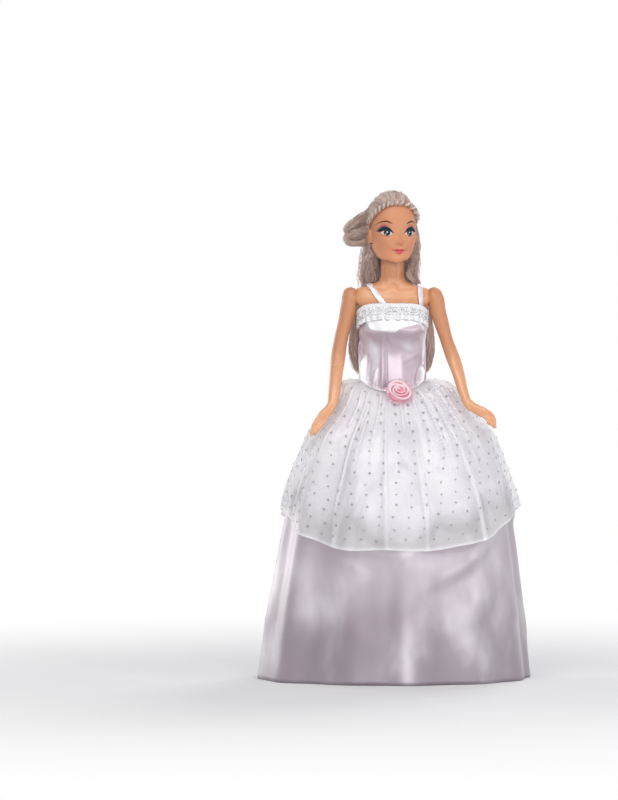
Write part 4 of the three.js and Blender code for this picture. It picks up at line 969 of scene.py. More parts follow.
def face_paint(x, y, z):
    """Signed distances of the painted features, in millimetres of the face's front view."""
    behind = y > -1.5
    z = z + 0.35
    # Eye: the painted lid's upper edge, the opening's two edges, iris, glints and lashes
    s = np.abs(x + 0.4)
    w = (s - 7.4) / 3.95
    lid_top = 0.7 * w + 0.25 + 2.7 * (1 - np.abs(w) ** 2.1)
    z_eye = z + 0.6
    u = (s - 7.0) / 3.1
    open_top = 0.3 * u + 1.15 * (1 - u**2)
    open_low = 0.25 * u - 2.05 * np.clip(1 - u**2, 0, 1) ** 0.7
    outside = np.maximum(np.abs(u) - 1, 0) * 3.1
    eye = np.maximum(np.maximum(z_eye - open_top, open_low - z_eye), outside)
    lid_low = np.where(np.abs(u) < 1, open_top, 0.3 * u + 0.75 * (np.abs(u) - 1) * np.sign(u)) - 0.6
    lid = np.maximum(z - lid_top, lid_low - z)
    iris_x = x + 0.4 - np.sign(x) * 6.85
    iris = np.maximum(np.hypot(iris_x, z_eye + 0.1) - 1.88, z_eye - open_top)
    pupil = np.hypot(iris_x, z_eye + 0.05) - 1.1
    glint = np.minimum(np.hypot(iris_x - 0.05, z_eye - 0.25) - 0.38, np.hypot(iris_x + 0.75, z_eye + 0.95) - 0.26)
    around = np.arctan2(z_eye - 0.2, s - 7.0)
    spikes = np.clip(np.sin(around * 22), 0, 1) * smooth(-0.6, 0.9, u)
    lash = np.maximum(np.abs(z_eye - open_low + 0.14 + 0.3 * spikes) - (0.13 + 0.3 * spikes), outside)
    # Brow: a stroke along an arch, thinner towards its outer end
    s = np.abs(x)
    arch = 6.05 - 0.1 * (s - 8.3) ** 2
    t = (s - 8.6) / 4.45
    stroke = 0.5 * np.sqrt(np.clip(1 - t**2, 0, 1)) * mix(1.1, 0.55, smooth(6.0, 12.8, s))
    brow = np.where(np.abs(t) < 1, np.abs(z - arch) - stroke, 1.0)
    # Lips, and the line between them
    side = x - 0.4
    line = mouth_line(side)
    z_lips, s_lips = z - 0.35, np.abs(side)
    bow = 0.2 * bump(s_lips, 1.3, 0.8) - 0.4 * bump(side, 0, 0.6)
    top = line + 1.1 * (1 - np.clip(s_lips / 4.4, 0, 1) ** 1.3) + bow
    low = line - 1.95 * np.clip(1 - (s_lips / 2.9) ** 2, 0, 1) ** 0.8 - 0.1
    wide = s_lips - 4.3
    lips = np.maximum(np.maximum(z_lips - top, low - z_lips), wide)
    mouth = np.maximum(np.abs(z_lips - line) - 0.16, wide + 0.1)
    # Crease over the lid, eye shadow, blush, a painted highlight that makes the chin paler, and a dark dot on the ear
    # lobe
    crease = np.maximum(np.abs(z - (lid_top + 0.6)) - 0.1, np.abs(w) * 4.2 - 3.0)
    shadow = (0.95 * smooth(-0.6, 0.4, z - lid_low) * (1 - smooth(0.1, 2.3, z - lid_top))
              * bump(s, 8.9, 3.9) * mix(0.4, 1.0, smooth(5.5, 9.5, s)))
    blush = 0.2 * bump(s, 8.6, 3.0) * bump(z, -6.6, 3.2)
    # Painted highlight: the chin painted paler
    chin = 0.9 * smooth(-9.0, -16.0, z) * smooth(7.0, 2.0, y)
    # A dark dot on the ear lobe
    ear_dot = np.hypot(y - 0.2, z + 6.7) - 0.42 + np.where(s > 10, 0, 9)
    front = {"eye": eye, "lid": lid, "iris": iris, "pupil": pupil, "glint": glint, "lash": lash, "brow": brow,
             "lips": lips, "mouth": mouth, "crease": crease}
    return {label: value + 9.0 * behind for label, value in front.items()} | {
        "shadow": shadow * ~behind, "blush": blush * ~behind, "chin": chin, "ear_dot": ear_dot}


def make_head():
    """Head: a ball with twice as many points in front, whose radius follows the direction, with fine face forms."""
    sides, rows, crowd = 300, 230, -0.62
    v, t = np.meshgrid(np.linspace(0, 1, rows + 2)[1:-1], np.arange(sides) / sides * TAU, indexing="ij")
    v = v + 0.035 * np.sin(TAU * (v - 0.02))
    around = t + crowd * np.sin(t) - math.pi / 2
    direction = np.stack([np.sin(math.pi * v) * np.cos(around), np.sin(math.pi * v) * np.sin(around),
                          -np.cos(math.pi * v)], -1)
    radius = head_radius(direction)
    skin = direction * radius[..., None]
    front = smooth(-2.0, -7.0, skin[..., 1])
    radius = radius + front * face_relief(skin[..., 0], skin[..., 2]) + ear_relief(*np.moveaxis(skin, -1, 0))
    skin = direction * radius[..., None]
    neck = np.hypot(skin[..., 0], skin[..., 1] - HEAD_FORWARD)
    skin[..., 2] += 6.4 * smooth(9.0, 7.8, neck) * (skin[..., 2] < -10)
    fields = face_paint(*np.moveaxis(skin, -1, 0))
    head = surface("head_skin", turned(skin + HEAD_MIDDLE), ends=True, fields=fields)
    dress(head, "head", "face_vinyl", replaces=("head",))


# Hair

TEMPLE_SHARES = [(-0.7, 0.66, -0.8), (-0.86, 0.55, -0.46), (-0.95, 0.42, -0.12), (-1.02, 0.2, 0.16),
                 (-0.99, -0.3, 0.4), (-0.78, -0.62, 0.6), (-0.42, -0.83, 0.76)]
ARCH_SHARES = np.array([*TEMPLE_SHARES, (0, -0.9, 0.81), *((-x, y, z) for x, y, z in reversed(TEMPLE_SHARES))])
HAIR_TOP = 255.2
HAIR_LENGTH = 76.0
TWIST_LIFT = 1.75


def hang(*pieces):
    """Puts each piece's placement into its points; the long hair rides on no body."""
    for piece in pieces:
        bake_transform(piece)


def head_direction(shares):
    """Direction of a place that is given in shares of the head's half width, front and height."""
    tall = np.where(shares[..., 2] < 0, HEAD_BELOW, HEAD_ABOVE)
    return unit(shares * np.stack(np.broadcast_arrays(HEAD_HALF, HEAD_FRONT, tall), -1))


def on_head(direction, radius):
    """Points at a distance from the head's middle, turned with the head."""
    return turned(direction * radius[..., None] + HEAD_MIDDLE)


def combed_direction(s, t):
    """Way of a strand over the head: from the hairline's arch at s, over the crown or past the ear, to the nape,
    as a bent line between three directions, shared by t."""
    start = head_direction(curve(ARCH_SHARES, np.ravel(s)).reshape(*np.shape(s), 3))
    phi = (s - 0.5) * 2 * math.radians(112)
    over = np.stack([1.12 * np.sin(phi), 0.42 + 0.25 * np.abs(np.sin(phi)), 1.25 * np.cos(phi)], -1)
    nape = np.stack([0.62 * np.sin(phi * 0.8), np.full(np.shape(phi), 0.85), np.full(np.shape(phi), -0.72)], -1)
    t = t[..., None]
    return unit((1 - t) ** 2 * start + 2 * t * (1 - t) * over + t**2 * nape)


def cap_rise(s, t):
    """How far the combed hair has risen from the skin: low at the hairline, behind the twist, and full farther
    back; at the two lower ends it lies flat."""
    return smooth(-0.1, 0.34, t) * smooth(-0.02, 0.03, s) * smooth(-0.02, 0.03, 1 - s)


def hair_radius(direction):
    """The combed hair's outside: fuller behind and at the nape."""
    full = 1 + 0.25 * np.maximum(0, direction[..., 1]) + 0.1 * np.maximum(0, -direction[..., 2])
    return head_radius(direction) + HAIR_DEPTH * full


def waves(x, terms, low, high, seed):
    """Smooth random relief from -1 to 1: a mean of sines whose counts lie between low and high."""
    rng = np.random.default_rng(seed)
    counts, starts = rng.uniform(low, high, terms), rng.uniform(0, TAU, terms)
    return np.sin(x[..., None] * counts * TAU + starts).sum(-1) / math.sqrt(terms)


def combed(s, t, above, lift=0.0):
    """Points of the combed hair, lift over its full outside and above the skin where it hasn't risen, with ridges
    whose places wander along the comb; and those places."""
    direction = combed_direction(s, t)
    drift = s + 0.01 * np.sin(3 * t + 9 * s)
    combs = 0.22 * waves(drift, 7, 14, 34, 3) + 0.14 * waves(drift, 9, 60, 150, 4)
    full = hair_radius(direction) + combs - 0.3
    rise = cap_rise(s, t)
    return on_head(direction, mix(head_radius(direction) + above, full, rise) + lift * rise), drift


def make_hair_cap():
    """Combed hair: a wall over the skull with ridges along the comb, and modelled strands on it."""
    s, t = np.meshgrid(np.linspace(0, 1, 400), np.linspace(0, 1, 56))
    grid, drift = combed(s, t, 0.35)
    tone = 0.5 + 0.3 * waves(drift, 5, 8, 30, 8)
    cap = surface("hair_cap_combed", grid, wrap=False, uv=grid_uv(s, t), fields={"tone": tone})
    dress(thicken(cap, 0.5), "head", "hair", replaces=("hair_cap",))

    rng = np.random.default_rng(21)
    count = bpy.context.scene.doll_hair.cap_strands
    own = rng.uniform(0.015, 0.985, count)[:, None]
    steps = np.linspace(0, 1, 22)[None]
    begin = rng.uniform(-0.02, 0.25, count)[:, None] * (rng.random(count) < 0.45)[:, None]
    t = np.clip(begin + (1 - begin) * steps, 0.004, 1)
    s = own + 0.006 * np.sin(5 * t + TAU * rng.random(count)[:, None])
    lift = rng.uniform(-0.05, 0.3, count)[:, None] + 0.9 * (rng.random(count) < 0.06)[:, None] * np.sin(math.pi * t)
    strands = tubes("hair_cap_strands", combed(s, t, 0.45, lift)[0], strand_radius(count, steps.size, rng))
    dress(strands, "head", "hair")


def strand_radius(count, steps, rng, scale=1.0):
    """Radius of each strand along its way, thin at both ends."""
    t = np.linspace(0, 1, steps)[None]
    own = bpy.context.scene.doll_hair.strand / MM * rng.uniform(0.7, 1.35, count)[:, None]
    return own * scale * (0.15 + 0.85 * np.clip(np.sin(math.pi * np.clip(t, 0.02, 0.98)) * 2.4, 0, 1))


def arch_frame(t):
    """Line along the hairline's arch, from the doll's right temple to its left: its places, the ways beside it and
    out of the head, and the angle to which the twist has wound, faster on the doll's right."""
    out = head_direction(curve(ARCH_SHARES[3:12], t.ravel()).reshape(*t.shape, 3))
    centres = out * (head_radius(out) + TWIST_LIFT)[..., None]
    side = unit(np.cross(unit(np.gradient(centres, axis=-2)), out))
    wound = 2 * TAU * (8.6 * np.minimum(t, 0.5) + 3.4 * 1.6 * np.maximum(t - 0.5, 0))
    return centres, side, out, wound


def make_front_twist():
    """Twisted strand along the hairline: two round strands wound on each other, tight ribs on the doll's right and
    a loose rope on its left, with fine grooves along each. One strand is painted light and the other dark, a
    painted highlight on the ribs and painted shade between them."""
    t = np.linspace(0.03, 0.97, 420)
    centres, side, out, wound = arch_frame(t)
    ends = np.clip(5 * np.minimum(t - 0.03, 0.97 - t), 0, 1) ** 0.5
    a = np.arange(20) / 20 * TAU
    radius = (0.95 + 0.1 * np.sin(a * 5)[None]) * (0.35 + 0.65 * ends)[:, None]
    # Strand a has a light tone and strand b a dark one: painted highlight on the ribs, painted shade in the gaps
    for half, replaces in (("a", ("front_twist",)), ("b", ())):
        angle = (wound + math.pi * (half == "b"))[:, None]
        centre = centres + 0.78 * ends[:, None] * (np.cos(angle) * side + np.sin(angle) * out)
        rings = centre[:, None] + radius[..., None] * spokes(a, side, out)
        part = surface(f"front_twist_{half}", turned(rings + HEAD_MIDDLE), ends=True,
                       uv=grid_uv(np.arange(21)[None] / 20 * 0.4, t[:, None] * 0.5),
                       fields={"tone": 2.9 if half == "a" else -0.3})
        dress(part, "head", "hair", replaces=replaces)
    rng = np.random.default_rng(5)
    count, steps = 90, 26
    begin = rng.uniform(0.02, 0.86, count)[:, None]
    centres, side, out, wound = arch_frame(np.clip(begin + np.linspace(0, 0.12, steps)[None], 0.02, 0.98))
    angle = (wound + TAU * rng.random(count)[:, None])[..., None]
    paths = centres + 1.62 * (np.cos(angle) * side + np.maximum(np.sin(angle), -0.35) * out)
    strands = tubes("front_twist_strands", turned(paths + HEAD_MIDDLE), strand_radius(count, steps, rng, 0.9))
    dress(strands, "head", "hair")


def lock(name, body, points, spreads, count, steps, seed, wave=0.5, turns=3.0, scale=1.0, replaces=(), core=0.0):
    """A loose bundle: each strand follows the same line of points, moved at every point by its own random share of
    that point's spread, with waves of its own. core is the share of the spread that a closed body inside fills."""
    rng = np.random.default_rng(seed)
    points, spreads = np.asarray(points, float), np.asarray(spreads, float)
    own = rng.normal(0, 0.5, (count, 1, 3)) * 0.8 + rng.normal(0, 0.5, (count, len(points), 3)) * 0.35
    t = np.linspace(0, 1, steps)
    paths = curve(points[None] + np.clip(own, -1.2, 1.2) * spreads[None], t)
    swing = np.sin(TAU * turns * t[None, :, None] + TAU * rng.random((count, 1, 3)))
    paths = paths + wave * smooth(0.0, 0.25, t)[None, :, None] * swing * rng.uniform(0.4, 1.0, (count, 1, 1))
    strands = tubes(f"{name}_strands", paths, strand_radius(count, steps, rng, scale))
    if core <= 0:
        return (dress(strands, body, "hair", replaces=replaces),)
    rows, sides = 60, 72
    t = np.linspace(0, 1, rows)
    centres = curve(points, t)
    half, deep = core * np.maximum(along(np.column_stack([np.linspace(0, 1, len(spreads)), spreads]), t).T[:2], 0.25)
    taper = np.clip(np.sin(math.pi * np.linspace(0.02, 0.98, rows)) * 2.5, 0.1, 1)
    grid = sweep(centres, half * taper, deep * taper, (1, 0.02, 0.05), sides)
    groove = 1 + 0.12 * waves(np.broadcast_to(np.arange(sides) / sides, (rows, sides)), 6, 6, 20, seed)
    grid = centres[:, None] + (grid - centres[:, None]) * groove[..., None]
    uv = grid_uv(np.arange(sides + 1)[None] / (sides + 1), t[:, None])
    inside = surface(f"{name}_core", grid, ends=True, uv=uv, fields={"tone": 0.25})
    return dress(inside, body, "hair", replaces=replaces), dress(strands, body, "hair")


def make_loose_locks():
    """The flip of hair that stands out at the doll's right temple in two turned-under lobes, the locks beside the
    neck, and small curls."""
    upper = [(-9.5, 3.0, 281.5), (-14.0, 3.0, 277.3), (-19.0, 2.6, 273.8), (-24.3, 2.4, 270.6), (-27.4, 2.2, 267.2),
             (-25.8, 2.4, 264.8), (-20.5, 3.2, 265.4), (-14.0, 4.6, 266.5)]
    spreads = [(2.0, 3.0, 2.0), (2.0, 3.0, 2.8), (2.4, 3.0, 3.0), (2.2, 3.0, 2.6), (1.6, 2.8, 2.0),
               (1.8, 2.8, 2.2), (2.4, 2.8, 2.6), (1.4, 2.4, 2.2)]
    lock("flip_lock", "head", upper, spreads, 240, 30, 31, 0.3, 2.0, 1.0, ("flip_lock",))
    lower = [(-11.5, 4.5, 268.5), (-16.5, 3.4, 266.6), (-22.5, 3.0, 265.4), (-26.6, 3.0, 263.6), (-27.4, 3.0, 260.8),
             (-24.2, 3.6, 259.0), (-19.0, 4.4, 259.4), (-13.5, 5.5, 260.8)]
    spreads = [(1.6, 3.0, 2.6), (2.4, 3.0, 2.8), (2.4, 3.0, 2.4), (1.8, 2.8, 2.0), (1.6, 2.6, 1.8),
               (2.0, 2.6, 1.6), (2.4, 2.6, 2.0), (1.8, 2.4, 2.2)]
    lock("flip_lower", "head", lower, spreads, 240, 30, 32, 0.3, 2.0)
    fillings = (([(-10.5, 5.0, 276), (-16.0, 5.0, 271.5), (-21.5, 5.0, 268.5), (-25.0, 5.0, 266)], 3.6),
                ([(-11.0, 5.6, 266), (-16.5, 5.4, 263.5), (-21.0, 5.2, 262.0), (-25.0, 5.0, 261.4)], 2.6))
    for k, (filling, high) in enumerate(fillings):
        lock(f"flip_filling_{k}", "head", filling, [(1.5, 2.4, high)] * 4, 130, 20, 38 + k, 0.3)

    right = [(-12.6, 6.0, 262), (-13.2, 6.6, 255), (-13.8, 7.4, 247), (-13.6, 8.4, 240), (-13.6, 9.2, 233)]
    spreads = [(3.0, 3.0, 2.0), (4.8, 4.0, 2.0), (5.8, 4.4, 1.5), (6.4, 4.0, 1.5), (5.8, 3.0, 2.8)]
    hang(*lock("right_side_lock", None, right, spreads, 340, 26, 33, 0.6, 3.0, 1.0, ("right_side_lock",), 0.56))
    left = [(13.6, 5.0, 270), (14.8, 5.0, 261), (14.4, 5.6, 252), (13.4, 6.2, 244), (12.6, 6.8, 237)]
    spreads = [(1.4, 2.0, 2.0), (1.8, 2.4, 1.5), (2.4, 2.8, 1.5), (3.2, 2.8, 1.5), (3.0, 2.4, 2.0)]
    hang(*lock("left_side_lock", None, left, spreads, 150, 26, 34, 0.8, 3.6, 1.0, ("left_side_lock",), 0.5))
    fringe = [(11.8, 3.0, 247), (10.4, -2.5, 242.5), (9.6, -6.6, 239.5), (12.4, -8.6, 236.6)]
    hang(*lock("shoulder_wisp", None, fringe, [(1.8, 1.2, 1.6)] * 4, 60, 22, 35, 0.3, 3.0, 0.9))
    curl = [(-10.8, 3.0, 257.5), (-13.6, 2.4, 255.4), (-12.0, 2.2, 252.8), (-15.2, 2.4, 250.6), (-13.4, 2.8, 247.6)]
    lock("ear_curl", "head", curl, [(1.6, 0.8, 1.2)] * 5, 46, 26, 36, 0.25, 2.0, 0.9)


def make_back_hair():
    """Long hair down the back: a closed mass with ridges along it, and wavy strands over and beside it."""
    rows = [
        [0.0, 10.5, 3.6, 13.1], [0.16, 14.0, 4.5, 14.8], [0.3, 18.0, 3.6, 17.3], [0.5, 23.0, 3.0, 16.7],
        [0.75, 25.0, 2.7, 16.4], [0.93, 22.5, 1.8, 15.5], [1.0, 17.5, 0.9, 14.6],
    ]
    a, down = ring(160), np.linspace(0, 1, 80)[:, None]
    half, deep, back = np.moveaxis(along(rows, down), -1, 0)
    relief = 1 + 0.09 * waves(a / TAU + 0.012 * np.sin(9 * down), 8, 12, 40, 61)
    x = half * bend(np.cos(a), 2.6) * (1 + 0.02 * np.sin(11 * down))
    y = back + deep * bend(np.sin(a), 2.6) * relief
    z = np.broadcast_to(HAIR_TOP - HAIR_LENGTH * down, x.shape)
    uv = grid_uv(np.arange(161)[None] / 160, down)
    core = surface("back_hair_mass", np.stack([x, y, z], -1), ends=True, uv=uv,
                   fields={"tone": 0.35 + 0.3 * waves(a / TAU, 4, 8, 30, 62)[None]})
    dress(core, None, "hair", replaces=("back_hair",))
    rng = np.random.default_rng(63)
    count, steps = bpy.context.scene.doll_hair.long_strands, 34
    t = np.linspace(0, 1, steps)[None]
    reach = rng.uniform(0.86, 1.02, count)[:, None]
    half, deep, back = np.moveaxis(along(rows, np.clip(t * reach, 0, 1)), -1, 0)
    around = rng.uniform(0, TAU, count)[:, None]
    ripple = np.sin(TAU * (3.2 * t + rng.random(count)[:, None])) * 0.5
    x = (half + 0.25) * bend(np.cos(around), 2.6) + ripple + rng.normal(0, 0.5, (count, 1)) * t
    y = back + (deep + 0.2) * bend(np.sin(around), 2.6) + 0.4 * ripple
    z = HAIR_TOP - HAIR_LENGTH * t * reach
    paths = np.stack([x, np.maximum(y, np.where(z < 236, 12.9, 0)), z], -1)
    strands = tubes("back_hair_strands", paths, strand_radius(count, steps, rng, 1.15))
    hang(core, dress(strands, None, "hair"))


# Gown

LACE_CELL = 5.4
STRAP_SHOULDER = 15.9
STRAP_REAR = 11.73
SATIN_LIFT = 0.95


def beside(turn, place):
    """Angle from the place, which is measured from straight ahead to the doll's left, between -pi and pi."""
    return wrapped(turn + math.pi / 2 - place)


def seam_height(turn):
    """Height of the waist seam: lowest in front and highest at the sides."""
    sag = np.where(np.sin(turn) < 0, 0.55 * np.sin(turn) ** 2, 0)
    return WAIST + SEAM_BOW * (0.5 * np.cos(turn) ** 2 - sag)


def top_edge(turn):
    """Height of the bodice's upper edge, lower at the sides and behind."""
    dip = np.where(np.sin(turn) < 0, np.cos(turn) ** 4, 1)
    return BUST + 10 - 4.5 * dip


def cloth_point(turn, height, grow):
    """Cloth over the body: the body's oval moved out, eased at the waist, and bulging as one over the breasts."""
    half, front, back = np.moveaxis(along(SECTIONS, height), -1, 0)
    out = grow + 1.6 * np.exp(-(((height - WAIST) / 37.0) ** 2) * 2.5)
    up = np.maximum(0, height - BUST) / (BREAST_SPREAD * 1.5)
    down = np.maximum(0, BUST - height) / (BREAST_SPREAD * 2)
    front = front + BREAST * 0.98 * np.exp(-up * up - down * down)
    x, y = body_oval(turn, half, front, back, out)
    return np.stack([x, y, np.broadcast_to(height, x.shape)], -1)


def front_place(turn):
    """Distance round the bodice from straight ahead, in millimetres, positive to the doll's left."""
    return beside(turn, 0) * CHEST_RADIUS


def fold_line(place, height, line, top, bottom, rise, half):
    """A rounded fold that follows line = (place at the waist, slope, bend) between two heights."""
    up = height - WAIST
    centre = line[0] + line[1] * up + line[2] * up**2
    share = smooth(top + 3.0, top - 3.0, height) * smooth(bottom - 3.0, bottom + 2.0, height)
    return rise * bump(place, centre, half) * share


RIGHT_TUCK = (-19.5, -0.3, 0.018), 190, 172
LEFT_TUCK = (18.6, 0.15, 0.01), 185, 172


def bodice_folds(turn, height):
    """Folds of the bodice in millimetres: a pleat below the bust whose top splits in two, tucks that bulge beside
    the waist, and drag lines that run from the bust to the sides."""
    place = front_place(turn)
    # Rows for fold_line: its line, its two heights, its rise and its half width
    rows = [
        ((-5.4, 0.02, 0.0), 205, 168, 0.85, 1.5), ((-3.1, 0.0, 0.0), 203, 168, -0.4, 0.5),
        ((8.6, -0.36, 0.0), 206, 199, 0.3, 1.2), (*RIGHT_TUCK, 2.0, 1.6),
        ((-15.4, -0.1, 0.014), 188, 172, -0.5, 1.0), ((-11.5, 0.12, 0.01), 184, 170, 0.4, 1.0),
        (*LEFT_TUCK, 1.9, 1.5), ((15.0, 0.1, 0.012), 183, 172, -0.5, 1.0),
        ((23.5, 0.02, 0.0), 210, 174, 0.9, 1.3), ((-25.0, 0.02, 0.0), 208, 174, 0.8, 1.4),
        ((30, 0.1, 0.0), 200, 172, 1.0, 1.6), ((-32, 0.1, 0.0), 200, 172, 1.0, 1.6),
        ((42, 0.1, 0.0), 204, 172, 0.9, 1.8), ((-44, 0.0, 0.0), 204, 172, 0.9, 1.8),
    ]
    total = sum(fold_line(place, height, *row) for row in rows)
    # Drag lines: place, height, slope, half width and rise
    drags = (8.0, 199, -0.4, 1.8, 0.3), (-10.0, 196, 0.45, 1.8, 0.25), (12.0, 186, 0.42, 1.5, 0.3)
    drag = sum(h * bump(height, z + k * place, w) * bump(place, x, 6.0) for x, z, k, w, h in drags)
    edge = 206.3 + 0.8 * waves(place / 60, 4, 1, 4, 17) - 1.6 * bump(place, -9.0, 3.5)
    band = 2.0 * bump(height, edge, 3.8) * smooth(26.0, 19.0, np.abs(place))
    return 1.4 * total + drag + band + 0.12 * waves(place / 60 + height / 400, 5, 3, 9, 71)


def bodice_painted_highlight(turn, height):
    """Painted highlight on the bodice's satin, which is painted white there: a band over the bust whose lower edge
    hangs in two curves, and the tucks beside the waist."""
    place = front_place(turn)
    rows = [[-30, 222], [-19, 213], [-15.0, 210.6], [-11.2, 206.9], [-5, 206.1], [0.5, 205.3], [3, 207.6],
            [10, 209.4], [15.5, 210.2], [18, 206.4], [22, 208.2], [26, 216], [40, 222]]
    edge = along(rows, place)[..., 0]
    band = smooth(-0.5, 0.8, height - edge) * (np.abs(place) < 28)
    tucks = (fold_line(place, height, *RIGHT_TUCK, 1.0, 2.0) + fold_line(place, height, *LEFT_TUCK, 1.0, 1.7)
             + fold_line(place, height, (23.5, 0.02, 0.0), 212, 192, 0.8, 1.2))
    return np.clip(band + tucks, 0, 1)


def lace_silver(around, down):
    """Where the lace has silver thread: two border lines, a row of rings with a dot and four leaves each, and
    scrolls between them. around and down are millimetres; the value is about 1 on a thread and 0 off it."""
    x = np.mod(around, LACE_CELL) - LACE_CELL / 2
    z = down - 4.1
    swing = 1.5 * np.sin(TAU * around / LACE_CELL)
    motif = bump(np.hypot(x, z), 1.35, 0.3) + bump(np.hypot(x, z), 0, 0.42)
    for c in (0.7, -0.7):
        for k in (0.7, -0.7):
            motif = motif + bump(x * c + z * k, 2.2, 0.75) * bump(z * c - x * k, 0, 0.36)
    scroll = 0.7 * (bump(z, swing, 0.28) + bump(z, -swing, 0.28))
    border = bump(down, 1.0, 0.24) + bump(down, 7.0 - 0.5 * np.abs(np.cos(TAU * around / LACE_CELL)), 0.3)
    speck = waves(around / 9 + down / 23, 6, 3, 9, 12) * waves(down / 7 - around / 31, 5, 2, 6, 13)
    silver = np.clip(motif + scroll + border + 0.5 * np.clip(speck, 0, 1), 0, 1)
    return silver * mix(0.3, 1.0, smooth(1.2, 3.6, down))


def make_bodice():
    """Satin bodice with a rolled waist seam, a placket behind, a lace band and two ribbon straps."""
    turn, v = round_grid(400, 112)
    height = mix(seam_height(turn), top_edge(turn), v)
    calm = smooth(0.0, 0.04, v) * smooth(1.0, 0.84, v)
    roll = 0.95 * bump(v, 0.014, 0.016) + 0.15 * np.sin(60 * turn) * bump(v, 0.05, 0.05)
    lift = np.maximum(bodice_folds(turn, height), -0.45) * calm + roll
    grid = cloth_point(turn, height, SATIN_LIFT + lift)
    uv = grid_uv(np.linspace(0, 0.125, 401)[None], v[:, :1] * 0.045)
    # The field strain is a painted highlight over the bust and on the tucks
    fields = {"painted_highlight": bodice_painted_highlight(turn, height)}
    bodice = thicken(surface("bodice_satin", grid, uv=uv, fields=fields), 0.3)
    dress(bodice, "torso", "satin", replaces=("bodice",))

    turn, v = round_grid(1120, 41)
    around = turn * CHEST_RADIUS
    scallop = 0.7 * np.abs(np.cos(math.pi * around / LACE_CELL)) ** 0.7
    low = top_edge(turn) - 7.6 - scallop
    high = top_edge(turn) + 1.7 + 0.2 * np.abs(np.sin(46 * turn))
    height = mix(low, high, v)
    silver = lace_silver(around, high - height)
    ruffle = 0.55 * np.sin(29 * turn + 3 * v) * smooth(0.55, 0.0, v)
    grid = cloth_point(turn, height, 1.95 + 0.28 * silver + ruffle + 0.5 * np.cos(turn) ** 4)
    lace = thicken(surface("bodice_lace_band", grid, fields={"silver": silver}), 0.25)
    dress(lace, "torso", "silver_lace", replaces=("bodice_lace",))

    turn = np.linspace(math.pi / 2, math.pi / 2 + TAU, 260)
    path = cloth_point(turn, seam_height(turn) + 0.15 + 0.12 * np.sin(37 * turn), 1.75)
    piping = tubes("waist_piping", path[None], 0.55 + 0.05 * np.sin(61 * turn)[None], 8)
    pieces = [lace, dress(piping, "torso", "ribbon")]
    for name, side, foot in (("right", -1, 4.1), ("left", 1, 16.7)):
        ribbon = strap_ribbon(f"{name}_strap_ribbon", side, foot)
        pieces.append(dress(ribbon, "torso", "ribbon", replaces=(f"{name}_strap",)))

    x, v = np.meshgrid(np.linspace(-1, 1, 14), np.linspace(0, 1, 60))
    turn = math.pi / 2 - x * 2.5 / CHEST_RADIUS
    height = mix(WAIST + SEAM_BOW, top_edge(turn) - 9.5, v)
    edge = 0.35 * smooth(0.7, 1.0, np.abs(x)) + 0.12 * np.sin(50 * v)
    grid = cloth_point(turn, height, 1.65 - edge * 0.6)
    placket = thicken(surface("back_placket_satin", grid, wrap=False), 0.3)
    pieces.append(dress(placket, "torso", "satin", replaces=("back_placket",)))


def strap_ribbon(name, side, foot):
    """Ribbon over the shoulder. Its line in front view runs straight from its foot to the shoulder; its depth is
    the body's oval at each place, and it closes over the top where the oval's half width equals that place."""
    def half_way(start, low, sign):
        z = np.linspace(low, NECK, 900)
        x = mix(start, STRAP_SHOULDER, (z - low) / (NECK - low))
        top = np.argmax(along(SECTIONS, z)[:, 0] < x)
        q = 1 - (1 - np.linspace(0, 1, 46)) ** 2
        place = mix(low, z[top], q)
        line_x = np.interp(place, z, x)
        half, front, back = np.moveaxis(along(SECTIONS, place), -1, 0)
        deep = front if sign < 0 else back
        share = np.clip(1 - (line_x / half) ** BODY_POWER, 0, 1) ** (1 / BODY_POWER)
        return np.stack([line_x, sign * deep * share, place], -1)

    front = half_way(foot, BUST + 9.0, -1)
    behind = half_way(STRAP_REAR, float(top_edge(np.array(math.pi / 2))) - 1.0, 1)
    line = np.vstack([front, behind[::-1][1:]])
    line[:, 0] *= side
    reach = run(line)
    even = np.linspace(0, reach[-1], 110)
    line = np.stack([np.interp(even, reach, line[:, k]) for k in range(3)], -1)
    kernel = np.array([1, 2, 3, 2, 1]) / 9
    soft = np.stack([np.convolve(line[:, k], kernel, "same") for k in range(3)], -1)
    line[3:-3] = soft[3:-3]
    heading = unit(np.gradient(line, axis=0))
    middle = np.array([0, 0, SHOULDER - 8]) + line * (0.7, 0, 0)
    out = unit(line - middle)
    across = unit(np.cross(heading, out))
    out = np.cross(across, heading)
    out *= np.sign(np.einsum("ij,ij->i", out, line - middle))[:, None]
    w = np.linspace(-1, 1, 13)
    crown = 0.75 + 0.2 * (1 - w**2)
    grid = line[:, None] + 1.75 * w[None, :, None] * across[:, None] + crown[None, :, None] * out[:, None]
    return thicken(surface(name, grid, wrap=False, uv=grid_uv(w[None] * 1.6, even[:, None]) * MM), 0.28)


# Share along the skirt, then shares of the drop and of the width that the sides and the front have reached there
SKIRT_SHARES = [
    [0, 0, 0, 0], [0.05, 0.014, 0.22, 0.06], [0.12, 0.06, 0.35, 0.19], [0.2, 0.12, 0.49, 0.32],
    [0.28, 0.17, 0.61, 0.42], [0.38, 0.26, 0.7, 0.56], [0.5, 0.4, 0.8, 0.72], [0.72, 0.68, 0.905, 0.88], [1, 1, 1, 1],
]


